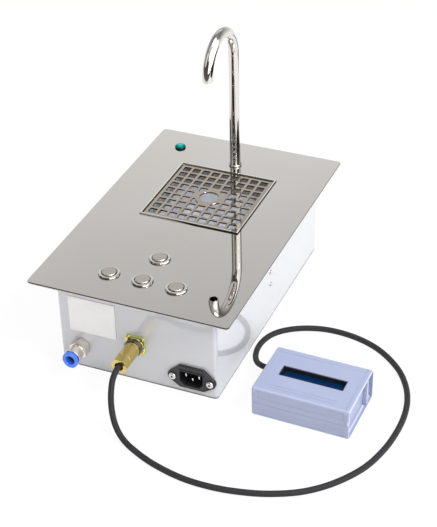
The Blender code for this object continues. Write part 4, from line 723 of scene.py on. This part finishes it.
CABLE_ROUTE = (
    (-0.5, -172.7, 45.1), (-0.5, -180.5, 45.1), (-0.6, -189.0, 44.3), (0.3, -199.0, 40.0),
    (3.4, -209.5, 31.0), (8.2, -218.5, 21.0), (15.5, -227.0, 12.0), (26.0, -235.0, 6.0),
    (41.0, -243.0, 3.4), (67.0, -254.2, 3.2), (99.5, -262.0, 3.2), (130.3, -262.9, 3.2),
    (158.8, -258.7, 3.2), (184.0, -251.0, 3.2), (209.7, -237.5, 3.2), (232.0, -216.6, 3.2),
    (250.5, -188.0, 3.2), (260.3, -157.0, 3.2), (264.0, -128.0, 3.2), (263.8, -103.0, 3.2),
    (260.0, -80.8, 3.2), (252.3, -60.2, 3.2), (240.0, -40.5, 3.2), (223.6, -24.0, 3.2),
    (206.0, -12.0, 3.2), (185.9, -4.2, 3.2), (164.3, -0.8, 3.2), (144.1, -2.0, 3.2),
    (124.6, -8.3, 3.2), (108.4, -18.7, 3.2), (98.6, -31.0, 3.2), (94.2, -45.0, 3.2),
    (94.3, -59.0, 3.8), (98.0, -73.0, 6.0), (104.8, -86.0, 10.2), (112.6, -94.6, 14.6),
    (120.5, -98.4, 16.8), (128.2, -98.7, 17.0),
)
CABLE_RADIUS = 3.0
CABLE_SIDES = 20


def smooth_path(points, steps):
    path = [Vector(p) * MM for p in points]
    path = [path[0] * 2 - path[1]] + path + [path[-1] * 2 - path[-2]]
    result = []
    for a, b, c, d in zip(path, path[1:], path[2:], path[3:]):
        for step in range(steps):
            t = step / steps
            result.append((b * 2 + (c - a) * t + (a * 2 - b * 5 + c * 4 - d) * t ** 2
                           + (b * 3 - a - c * 3 + d) * t ** 3) / 2)
    result.append(path[-2])
    return result


def build_cable():
    path = smooth_path(CABLE_ROUTE, 12)
    side = Vector((1.0, 0.0, 0.0))
    points, faces, where = [], [], []
    travelled = 0.0
    for index, point in enumerate(path):
        before, after = path[max(index - 1, 0)], path[min(index + 1, len(path) - 1)]
        forward = (after - before).normalized()
        side = (side - forward * side.dot(forward)).normalized()
        across = forward.cross(side)
        travelled += (point - before).length
        for step in range(CABLE_SIDES):
            angle = 2 * math.pi * step / CABLE_SIDES
            points.append(point + (side * math.cos(angle) + across * math.sin(angle)) * CABLE_RADIUS * MM)
            where.append(travelled)
    rings = len(path)
    for ring in range(rings - 1):
        for step in range(CABLE_SIDES):
            a, b = ring * CABLE_SIDES + step, ring * CABLE_SIDES + (step + 1) % CABLE_SIDES
            faces.append((a, b, b + CABLE_SIDES, a + CABLE_SIDES))
    faces.append(tuple(reversed(range(CABLE_SIDES))))
    faces.append(tuple(range((rings - 1) * CABLE_SIDES, rings * CABLE_SIDES)))
    mesh = bpy.data.meshes.new("braided_cable")
    mesh.from_pydata(points, [], faces)
    layer = mesh.uv_layers.new(name="along")
    for face in mesh.polygons:
        steps = [mesh.loops[i].vertex_index % CABLE_SIDES for i in face.loop_indices]
        seam = 0 in steps and CABLE_SIDES - 1 in steps and len(steps) == 4
        for i, step in zip(face.loop_indices, steps):
            turn = 1.0 if seam and step == 0 else step / CABLE_SIDES
            layer.data[i].uv = (where[mesh.loops[i].vertex_index], turn)
    cable = add_object("braided_cable", mesh)
    smooth(cable, 60.0)
    dress(cable, "cable_braid", ["display_cable"])


# Spout, buttons and lamp

def build_spout():
    clear_selection()
    bpy.ops.mesh.primitive_circle_add(vertices=56, radius=SPOUT_RADIUS)
    tube = named("gooseneck_tube")
    open_mesh(tube)
    bpy.ops.transform.translate(value=(0.0, SPOUT_FOOT, 0.0683))
    for rise in (0.0006, 0.1721, 0.002):
        extrude((0.0, 0.0, rise))
    bpy.ops.mesh.spin(steps=48, angle=-math.pi, center=SPOUT_BEND, axis=(1.0, 0.0, 0.0))
    for drop in (0.0005, 0.0005):
        extrude((0.0, 0.0, -drop))
    close_mesh()
    tidy_mesh(tube)
    apply_modifier(tube, "SOLIDIFY", thickness=SPOUT_WALL, offset=-1.0)
    apply_modifier(tube, "BEVEL", width=0.2 * MM, segments=2, limit_method="ANGLE", angle_limit=1.0)
    smooth(tube, 50.0)
    dress(tube, "chrome_tube", ["spout_tube"], body="spout")

    ring = lathe("spout_foot_ring", [(5.8, 0.5), (5.8, 1.25), (6.05, 1.65), (6.4, 1.8), (6.75, 1.65),
        (7.0, 1.25), (7.0, 0.5), (6.75, 0.12), (6.4, 0.0), (6.05, 0.12)], 48, closed=True)
    settle(smooth(ring, 80.0), Matrix.Translation((0.0, SPOUT_FOOT, PLATE_SEAT)))
    dress(ring, "polished_ring", ["spout_ring"])


def threads(radius, depth, low, high, pitch):
    """The zigzag of a thread, as points of a profile."""
    points = []
    height = low
    while height + pitch <= high:
        points += [(radius, height), (radius - depth, height + pitch / 2)]
        height += pitch
    return points + [(radius, high)]


def hexagon_nut(name, flats, bore, low, high, turn=0.0, slope=0.55):
    """A nut whose corners are chamfered by a cone at both ends."""
    reach = flats / 2 / math.cos(math.pi / 6)
    nut = rod(name, 6, reach, low, high, turn)
    chamfer = (reach - flats / 2) * slope
    cone = lathe(name + "_cone", [
        (0.0, low - 0.01), (flats / 2 - 0.1, low - 0.01), (reach + 0.2, low + chamfer),
        (reach + 0.2, high - chamfer), (flats / 2 - 0.1, high + 0.01), (0.0, high + 0.01)], 48)
    cut(nut, cone, "INTERSECT")
    if bore:
        cut(nut, rod(name + "_bore", 40, bore, low - 1.0, high + 1.0))
    return smooth(nut, 30.0)


def build_buttons():
    barrel = [(0.0, -20.0), (8.9, -20.0)] + threads(9.4, 0.45, -19.5, -1.0, 1.25)
    ring = lathe("button_ring", barrel + [(9.4, 0.0), (10.8, 0.0), (11.0, 0.15), (10.98, 0.3), (10.5, 1.4),
        (10.3, 1.56), (9.9, 1.62), (8.5, 1.64), (8.3, 1.6), (8.2, 1.45), (8.2, -0.6), (7.7, -0.8),
        (7.7, -8.0), (0.0, -8.0)], 64)
    smooth(ring, 20.0)
    cap = lathe("button_cap", [(0.0, -5.9), (2.4, -5.9), (2.4, -3.0), (7.15, -3.0), (7.4, -2.75),
        (7.4, 2.2), (7.3, 2.36), (6.98, 2.7), (6.86, 2.76), (0.0, 2.76)], 64)
    smooth(cap, 22.0)
    nut = hexagon_nut("button_nut", 22.0, 9.42, -6.1, -2.1)
    places = [Matrix.Translation((x * MM, y * MM, PLATE_SEAT)) for x, y in ((-36.5, -121.55),
        (-0.5, -121.55), (35.5, -121.55), (-0.5, -80.85))]
    repeat(ring, "button_{}_ring", places, "polished_ring", "root", "button_{}_body")
    repeat(nut, "button_{}_lock_nut", places, "plain_steel")
    repeat(cap, "button_{}_disc", places, "satin_cap", "cap_{}", "button_{}_cap")


def build_lamp():
    dome = [(6.0 * math.cos(a), 0.8 + 2.6 * math.sin(a)) for a in map(math.radians, range(9, 90, 9))]
    lens = lathe("lamp_dome", [(0.0, -14.0), (3.7, -14.0), (4.0, -13.7), (4.0, 0.0), (5.8, 0.0), (6.0, 0.2),
        (6.0, 0.8)] + dome + [(0.0, 3.4)], 48)
    settle(smooth(lens, 40.0), Matrix.Translation((*LAMP_PLACE, PLATE_SEAT)))
    dress(lens, "lamp_lens", ["indicator_lens"])


# Front wall

def build_fitting():
    place = on_wall(-61.5, 26.5)
    hexagon = hexagon_nut("fitting_hexagon", 17.3, 7.2, 0.0, 10.0, 0.0, 0.25)
    body = lathe("fitting_neck", [(2.2, -24.5), (3.2, -24.5), (3.2, -15.5), (6.1, -15.5),
        (6.5, -15.1)] + threads(6.5, 0.4, -14.5, -1.5, 1.3) + [(6.5, 0.3), (7.6, 0.3), (7.6, 10.7),
        (7.3, 11.0), (7.3, 11.9), (7.6, 12.3), (7.6, 19.4), (7.75, 19.65), (8.5, 19.75), (8.8, 20.05),
        (8.8, 21.9), (8.45, 22.3), (6.9, 22.3), (6.6, 22.0), (6.6, 5.3), (2.2, 5.3)], 48, closed=True)
    smooth(body, 30.0)
    fitting = settle(weld("push_in_fitting", hexagon, body), place)
    dress(fitting, "nickel", ["inlet_fitting"])

    seal = lathe("tube_seal", [(1.8, 18.4), (4.9, 18.4), (4.9, 20.4), (4.6, 20.7), (2.1, 20.7),
        (1.8, 20.4)], 40, closed=True)
    dress(settle(smooth(seal, 30.0), place), "black_rubber")

    collar = lathe("release_collar", [(5.05, 14.8), (6.3, 14.8), (6.3, 23.8), (8.05, 23.8), (8.4, 24.1),
        (8.4, 26.3), (8.25, 26.65), (7.9, 26.8), (5.7, 26.8), (5.25, 26.6), (5.05, 26.2)], 48, closed=True)
    open_mesh(collar, "NONE")
    bpy.ops.mesh.select_mode(type="VERT")
    mesh = bmesh.from_edit_mesh(collar.data)
    for point in mesh.verts:
        point.select_set(math.hypot(point.co.x, point.co.y) > 7.0 * MM)
    bmesh.update_edit_mesh(collar.data)
    bpy.ops.transform.resize(value=(1.0, 9.1 / 8.4, 1.0), center_override=(0.0, 0.0, 0.0))
    close_mesh()
    settle(smooth(collar, 35.0), place)
    dress(collar, "blue_collar", ["inlet_collar"], body="collar")


def slotted_screw(name, head, height, shank, length):
    """A pan-head screw with a slot; its head rests at height zero."""
    screw = lathe(name, [
        (0.0, -length), (shank * 0.7, -length), (shank, 0.8 - length), (shank, 0.0), (head, 0.0),
        (head, height * 0.45), (head * 0.93, height * 0.7), (head * 0.72, height * 0.93),
        (head * 0.4, height), (0.0, height)], 24)
    low, high = (-head - 1.0, -head * 0.13, height * 0.45), (head + 1.0, head * 0.13, height + 1.0)
    cut(screw, block(name + "_slot", low, high))
    return smooth(screw, 35.0)


def build_connector():
    x, z = -0.5, 45.1
    plate = block("connector_plate", (-10.5, -10.5, 0.0), (10.5, 10.5, 2.0))
    round_edges(plate, 3.0, 6)
    ease(plate, 0.25 * MM, 2)
    barrel = lathe("connector_barrel", [(0.0, -13.0), (6.7, -13.0), (7.0, -12.7), (7.0, 1.5), (8.9, 1.5),
        (8.9, 2.2), (8.6, 2.5), (7.4, 2.5), (7.4, 8.0), (7.2, 8.2), (0.0, 8.2)], 48)
    smooth(barrel, 30.0)
    flange = settle(weld("connector_flange", plate, barrel), on_wall(x, z))
    dress(flange, "yellow_chromate", ["socket_flange"])
    screw = slotted_screw("flange_screw", 2.1, 1.2, 1.3, 7.0)
    corners = ((-7.8, -7.8, 0.5), (7.8, -7.8, 1.3), (7.8, 7.8, -0.4), (-7.8, 7.8, 0.9))
    places = [on_wall(x + dx, z + dz, 2.0) @ Matrix.Rotation(turn, 4, "Z") for dx, dz, turn in corners]
    repeat(screw, "flange_screw_{}", places, "turned_brass")

    ring = lathe("bayonet_ring", [(7.7, 3.6), (7.9, 3.4), (9.1, 3.4), (9.5, 3.8), (9.5, 4.7), (9.25, 4.9),
        (9.25, 5.2), (9.5, 5.4), (9.5, 6.2), (9.25, 6.4), (9.25, 6.7), (9.5, 6.9), (9.5, 7.8), (9.1, 8.2),
        (7.9, 8.2), (7.7, 8.0)], 64, closed=True)
    settle(smooth(ring, 30.0), on_wall(x, z))
    dress(ring, "gunmetal", ["coupling_ring"], body="ring")

    shell = lathe("plug_shell", [(0.0, 8.5), (7.6, 8.5), (8.1, 9.0), (8.1, 11.2), (7.85, 11.4),
        (7.85, 11.9), (8.1, 12.1), (8.1, 28.0), (7.5, 28.6), (4.6, 28.6), (4.6, 24.5), (0.0, 24.5)], 64)
    smooth(shell, 25.0)
    end = hexagon_nut("plug_end", 15.4, 4.6, 28.2, 38.5, math.pi / 6, 0.25)
    shell = settle(weld("plug_shell", shell, end), on_wall(x, z))
    dress(shell, "turned_brass", ["backshell"])


def outline(name, points, low, high):
    """A closed outline of (x, y) points, filled and raised."""
    piece = draw(name, [Vector((x * MM, y * MM, low * MM)) for x, y in points])
    bpy.ops.mesh.select_all(action="SELECT")
    bpy.ops.mesh.edge_face_add()
    bpy.ops.mesh.select_all(action="SELECT")
    extrude((0.0, 0.0, (high - low) * MM))
    close_mesh()
    return tidy_mesh(piece)


def cavity_outline(width, height, chamfer):
    """A box of half a width and half a height, with its two lower corners cut off."""
    return [(width, height), (-width, height), (-width, chamfer - height), (chamfer - width, -height),
        (width - chamfer, -height), (width, chamfer - height)]


def build_inlet():
    x, z = 59.5, 19.7
    centre, ear = 19.4, 6.4
    half = [(13.0, -12.1)]
    half += [(centre + ear * math.cos(a), ear * math.sin(a)) for a in map(math.radians, range(-60, 61, 10))]
    half.append((13.0, 14.2))
    body = outline("mains_socket", half + [(-a, b) for a, b in reversed(half)], 0.0, 3.0)
    cut(body, block("socket_rear", (-14.0, -10.0, -16.0), (14.0, 10.0, 1.5)), "UNION")
    cut(body, outline("socket_cavity", cavity_outline(12.3, 8.2, 4.5), -12.0, 9.0))
    for side in (-1, 1):
        cut(body, settle(rod("ear_hole", 24, 1.9, -3.0, 9.0), at(side * 20.0, 0.0, 0.0)))
    ease(body, 0.45 * MM, 3)
    settle(body, on_wall(x, z))
    dress(body, "black_plastic", ["power_inlet"])

    rim = outline("socket_rim", cavity_outline(13.7, 9.5, 5.0), 2.4, 3.7)
    cut(rim, outline("rim_inside", cavity_outline(12.3, 8.2, 4.5), 0.0, 9.0))
    settle(ease(rim, 0.3 * MM, 2), on_wall(x, z))
    dress(rim, "black_plastic")

    pin = block("socket_pin", (-1.0, -2.0, -12.0), (1.0, 2.0, 0.0))
    open_mesh(pin)
    pick_faces(pin, lambda middle, normal: normal.z > 0.9)
    bpy.ops.mesh.bevel(offset=0.6 * MM, segments=2)
    close_mesh()
    smooth(pin, 30.0)
    places = [on_wall(x + dx, z + dz) for dx, dz in ((-7.0, 2.0), (0.0, -2.0), (7.0, 2.0))]
    repeat(pin, "socket_pin_{}", places, "screw_steel")

    screw = lathe("ear_screw", [(0.0, -9.0), (1.1, -9.0), (1.6, -8.3), (1.6, 0.0), (3.6, 0.0), (3.8, 0.2),
        (3.8, 1.0), (3.5, 1.6), (2.9, 2.05), (2.3, 2.2), (0.0, 2.2)], 40)
    cut(screw, rod("screw_socket", 6, 1.35, 0.7, 4.0))
    smooth(screw, 30.0)
    places = [on_wall(x + 20.0 * side, z, 3.3) for side in (-1, 1)]
    for place in places:
        dress(settle(rod("screw_shade", 6, 1.3, 0.72, 0.8), place), "black_plastic")
    repeat(screw, "ear_screw_{}", places, "screw_steel", "root", "inlet_screw_{}")


def build_rivets():
    rivet = lathe("wall_rivet", [(0.0, -3.3), (1.5, -3.3), (1.5, 0.0), (2.6, 0.0), (2.55, 0.3), (2.1, 0.65),
        (1.4, 0.85), (0.8, 0.78), (0.0, 0.7)], 32)
    smooth(rivet, 40.0)
    places = [at(85.8, 2.5, height) @ Matrix.Rotation(math.pi / 2, 4, "Y") for height in (57.65, 42.45)]
    repeat(rivet, "wall_rivet_{}", places, "screw_steel", "root", "side_rivet_{}")


# Plate, grille and tray

def build_plate():
    plate = from_node("top_plate", "polished_plate", 0.12 * MM, 2)
    dress(plate, "mirror_steel", ["top_plate"])


def build_grille():
    """A pressed sheet: square openings, a round middle, and an edge that slopes down all round."""
    sheet = block("cup_grille", (-54.6, -54.8, 0.0), (54.6, 54.8, 0.5))
    open_mesh(sheet)
    pick_faces(sheet, lambda middle, normal: normal.z > 0.9)
    bpy.ops.mesh.inset(thickness=1.8 * MM)
    extrude((0.0, 0.0, 0.7 * MM))
    bpy.ops.mesh.inset(thickness=0.6 * MM)
    bpy.ops.transform.translate(value=(0.0, 0.0, 0.5 * MM))
    close_mesh()
    holes = []
    for column in range(-4, 5):
        for row in range(-4, 5):
            if abs(column) + abs(row) > 1:
                x, y = column * 11.2, row * 11.2
                holes.append(block("opening", (x - 4.1, y - 4.1, -3.0), (x + 4.1, y + 4.1, 4.0)))
    openings = weld("openings", *holes)
    round_edges(openings, 0.45, 2)
    cut(openings, rod("middle", 64, 15.0, -6.0, 7.0))
    cut(sheet, openings)
    cut(sheet, rod("middle_hole", 64, 10.2, -3.0, 4.0))
    ease(sheet, 0.13 * MM, 1, 50.0)
    settle(sheet, at(*TRAY_MIDDLE, 104.8))
    dress(sheet, "grille_steel", ["drip_grille"], body="grille")


def build_tray():
    tray = from_node("drip_tray", "drip_basin", 0.5 * MM, 3)
    dress(tray, "tray_steel", ["drip_tray"])
    lip = block("tray_lip", (-55.15, -55.35, 0.0), (55.15, 55.35, 2.6))
    cut(lip, block("lip_inside", (-53.4, -53.6, -1.0), (53.4, 53.6, 4.0)))
    ease(lip, 0.22 * MM, 2)
    settle(lip, at(*TRAY_MIDDLE, 105.3))
    dress(lip, "polished_ring", body="grille")


# Housing and label

def build_housing():
    housing = from_node("housing", "folded_housing")
    round_edges(housing, 1.4, 4, lambda a, b: abs(a.z - b.z) > 50.0 * MM and a.y < WALL_FACE + 0.1 * MM
                and abs(a.x) > 85.0 * MM)
    cut(housing, block("side_seam", (85.3, -142.2, 1.5), (90.0, -141.8, 104.5)))
    ease(housing, 0.2 * MM, 2, 50.0)
    dress(housing, "white_enamel", ["housing"])


def build_label():
    low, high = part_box("rating_label")
    label = block("blank_label", [c / MM for c in low], [c / MM for c in high])
    round_edges(label, 0.8, 4, lambda a, b: abs(a.y - b.y) > 0.1 * MM)
    ease(label, 0.04 * MM, 1)
    dress(label, "label_film", ["rating_label"])


# Display case

def case_block(name, low, high):
    """A box in the display case's own frame."""
    return settle(block(name, low, high), CASE_PLACE)


def thin_end_walls(piece):
    """Both end recesses widen towards the walls round them."""
    for low, high in ((45.7, 52.0), (-52.0, -45.7)):
        cut(piece, case_block("end_room", (low, -33.95, 1.1), (high, 33.95, 32.7)))


def build_case():
    top = from_node("display_case_top", "case_lid", 0.3 * MM, 2)
    for x in (-46.0, 44.6):
        cut(top, case_block("groove", (x, -40.0, 33.55), (x + 0.35, 40.0, 34.5)))
        cut(top, case_block("groove", (x, -35.8, 12.0), (x + 0.35, -34.9, 40.0)))
    cut(top, case_block("groove", (-45.6, 27.4, 33.6), (44.6, 27.75, 34.5)))
    for y in (-24.2, -28.2):
        cut(top, case_block("groove", (-33.5, y, 33.6), (33.0, y + 0.4, 34.5)))
    thin_end_walls(top)
    level_shading(top, 30.0)
    dress(top, "lilac_plastic", ["display_case_top"])
    bottom = from_node("display_case_bottom", "case_tray", 0.3 * MM, 2)
    thin_end_walls(bottom)
    level_shading(bottom, 30.0)
    dress(bottom, "lilac_plastic", ["display_case_bottom"])
    for side in ("left", "right"):
        panel = from_node(f"display_end_{side}", f"case_end_{side}", 0.25 * MM, 2)
        dress(panel, "lilac_plastic", [f"display_end_{side}"])
    rib = block("case_rib", (45.6, 17.2, 3.2), (49.6, 22.6, 30.6))
    open_mesh(rib)
    pick_faces(rib, lambda middle, normal: normal.x > 0.9)
    bpy.ops.transform.resize(value=(1.0, 0.8, 1.0), center_override=(0.0, 19.9 * MM, 16.9 * MM))
    close_mesh()
    ease(rib, 0.4 * MM, 2)
    dress(settle(rib, CASE_PLACE), "lilac_plastic")

    bezel = from_node("lcd_bezel", "window_liner", 0.2 * MM, 2)
    dress(bezel, "black_plastic", ["lcd_bezel"])
    glass = from_node("lcd_glass", "display_pane", 0.25 * MM, 2)
    dress(glass, "display_glass", ["lcd_glass"])


# Light, floor and surroundings

LIGHT_AIM = Vector((0.05, 0.0, 0.05))


def ray_kinds(tree):
    """1 for what the camera sees itself, and 1 for what it sees in a mirror or through glass."""
    light = tree.nodes.new("ShaderNodeLightPath")
    turned = maths(tree, "MAXIMUM", light.outputs["Is Glossy Ray"], light.outputs["Is Transmission Ray"])
    return light.outputs["Is Camera Ray"], turned


def build_surroundings():
    world = bpy.data.worlds.new("studio")
    bpy.context.scene.world = world
    world.use_nodes = True
    tree = world.node_tree
    background = next(n for n in tree.nodes if n.type == "BACKGROUND")
    parts = split(tree, tree.nodes.new("ShaderNodeTexCoord").outputs["Generated"])
    heading = maths(tree, "ARCTAN2", parts[0], maths(tree, "MULTIPLY", parts[1], -1.0))
    height = maths(tree, "ARCSINE", parts[2])

    def window(middle, half, soft):
        """1 inside a range of headings, in degrees from the front towards the right, with soft borders."""
        turn = maths(tree, "COSINE", maths(tree, "SUBTRACT", heading, math.radians(middle)))
        away = maths(tree, "ARCCOSINE", turn)
        inside = maths(tree, "SUBTRACT", math.radians(half), away)
        return maths(tree, "DIVIDE", inside, math.radians(soft), clamp=True)

    def below(clear, full):
        """1 under a height in degrees, fading to 0 at another."""
        under = maths(tree, "SUBTRACT", math.radians(clear), height)
        return maths(tree, "DIVIDE", under, math.radians(clear - full), clamp=True)

    def dim(value, mask, depth):
        return maths(tree, "MULTIPLY", value, maths(tree, "MULTIPLY_ADD", mask, -depth, 1.0))

    def above(start, full):
        return maths(tree, "SUBTRACT", 1.0, below(full, start))

    def both(first, second):
        return maths(tree, "MULTIPLY", first, second)

    def lift(value, mask, amount):
        return maths(tree, "MULTIPLY_ADD", mask, amount, value)

    front = both(window(-28.0, 58.0, 12.0), below(46.0, 32.0))
    room = lift(lift(0.24, below(38.0, 3.0), 0.5), above(56.0, 80.0), 0.38)
    room = lift(room, both(window(-15.0, 80.0, 25.0), above(40.0, 50.0)), 0.35)
    room = dim(room, front, 0.84)
    room = lift(room, both(window(-158.0, 26.0, 12.0), both(above(24.5, 28.8), below(54.2, 25.0))), 0.844)
    room = lift(room, both(window(75.0, 52.0, 9.0), below(72.0, 60.0)), 1.5)
    room = lift(room, both(window(18.0, 22.0, 9.0), both(above(31.0, 37.0), below(68.0, 58.0))), 1.1)
    shown, seen = ray_kinds(tree)
    even = maths(tree, "MULTIPLY_ADD", room, 0.4, 0.5)
    lit = maths(tree, "ADD", both(seen, room), both(maths(tree, "SUBTRACT", 1.0, seen), even))
    hidden = maths(tree, "SUBTRACT", 1.0, shown)
    tint = blend_colours(tree, both(front, hidden), (1.0, 1.0, 1.0, 1.0), (1.0, 0.8, 0.7, 1.0))
    wire(tree, tint, background.inputs["Color"])
    wire(tree, maths(tree, "ADD", shown, both(hidden, lit)), background.inputs["Strength"])

    for name, place, size, power, colour in (
            ("key_light", (1.6, -0.5, 1.9), 0.8, 36.0, (1.0, 0.99, 0.97)),
            ("top_light", (0.1, 0.2, 2.2), 1.0, 9.0, (1.0, 1.0, 1.0)),
            ("fill_light", (-1.5, -1.4, 1.4), 1.6, 5.0, (0.95, 0.97, 1.0))):
        lamp = bpy.data.lights.new(name, "AREA")
        lamp.shape = "DISK"
        lamp.size = size
        lamp.energy = power
        lamp.color = colour
        item = add_object(name, lamp)
        item.location = place
        item.rotation_euler = (LIGHT_AIM - item.location).to_track_quat("-Z", "Y").to_euler()


FLAG_SIDE = 200.0
FLAG_OUTLINE = (
    (0.0, 196.0), (80.0, 166.0), (170.0, 146.0), (240.0, 128.0), (300.0, 104.0), (350.0, 74.0),
    (400.0, 44.0), (450.0, 2.0), (540.0, 2.0), (440.0, 84.0), (360.0, 142.0), (300.0, 190.0),
    (245.0, 218.0), (190.0, 240.0), (100.0, 244.0), (5.0, 254.0),
)


def build_flag():
    """A dark card beside the table that draws the narrow dark line in the polished tube."""
    flag = outline("dark_flag", FLAG_OUTLINE, 0.0, 1.0)
    turn = Matrix(((0.0, 0.0, 1.0), (1.0, 0.0, 0.0), (0.0, 1.0, 0.0))).to_4x4()
    settle(flag, at(FLAG_SIDE, 0.0, 0.0) @ turn)
    flag.data.materials.append(finish("flag_felt", (0.01, 0.01, 0.01), (0.02, 0.018, 0.016), 0.9))
    flag.visible_camera = flag.visible_diffuse = flag.visible_shadow = False


FLOOR_SIZE = 8.0
DIM_FROM = -0.38
DIM_OVER = 0.2
DIM_DEPTH = 0.88
MIRRORED_GLOW = 0.6
SEEN_GLOW = 0.92


def build_floor():
    """White paper; metal and glass mirror it darker in front of the appliance."""
    clear_selection()
    bpy.ops.mesh.primitive_plane_add(size=FLOOR_SIZE)
    floor = named("floor")
    material, tree, shader = start_material("floor_paper", Roughness=0.9, Base_Color=(0.93, 0.93, 0.93, 1.0))
    glow = tree.nodes.new("ShaderNodeEmission")
    shown, mirrored = ray_kinds(tree)
    parts = split(tree, object_vector(tree))
    ahead = maths(tree, "DIVIDE", maths(tree, "SUBTRACT", DIM_FROM, parts[1]), DIM_OVER, clamp=True)
    near = maths(tree, "MULTIPLY_ADD", ahead, -DIM_DEPTH, 1.0)
    wire(tree, maths(tree, "MULTIPLY_ADD", maths(tree, "SUBTRACT", near, 1.0), mirrored, 1.0),
        glow.inputs["Strength"])
    share = maths(tree, "MULTIPLY_ADD", mirrored, MIRRORED_GLOW, maths(tree, "MULTIPLY", shown, SEEN_GLOW))
    share = maths(tree, "MAXIMUM", share, maths(tree, "MULTIPLY", ahead, mirrored))
    mix = tree.nodes.new("ShaderNodeMixShader")
    wire(tree, share, mix.inputs[0])
    wire(tree, shader.outputs[0], mix.inputs[1])
    wire(tree, glow.outputs[0], mix.inputs[2])
    output = next(n for n in tree.nodes if n.type == "OUTPUT_MATERIAL")
    wire(tree, mix.outputs[0], output.inputs["Surface"])
    floor.data.materials.append(material)


place_camera()
FINISHES = make_finishes()
dress_nodes()
for build in (
        build_cable, build_spout, build_buttons, build_lamp, build_fitting, build_connector, build_inlet,
        build_rivets, build_plate, build_grille, build_tray, build_housing, build_label, build_case,
        build_surroundings, build_floor, build_flag):
    build()

bpy.context.scene.view_settings.view_transform = "Standard"
clear_selection()
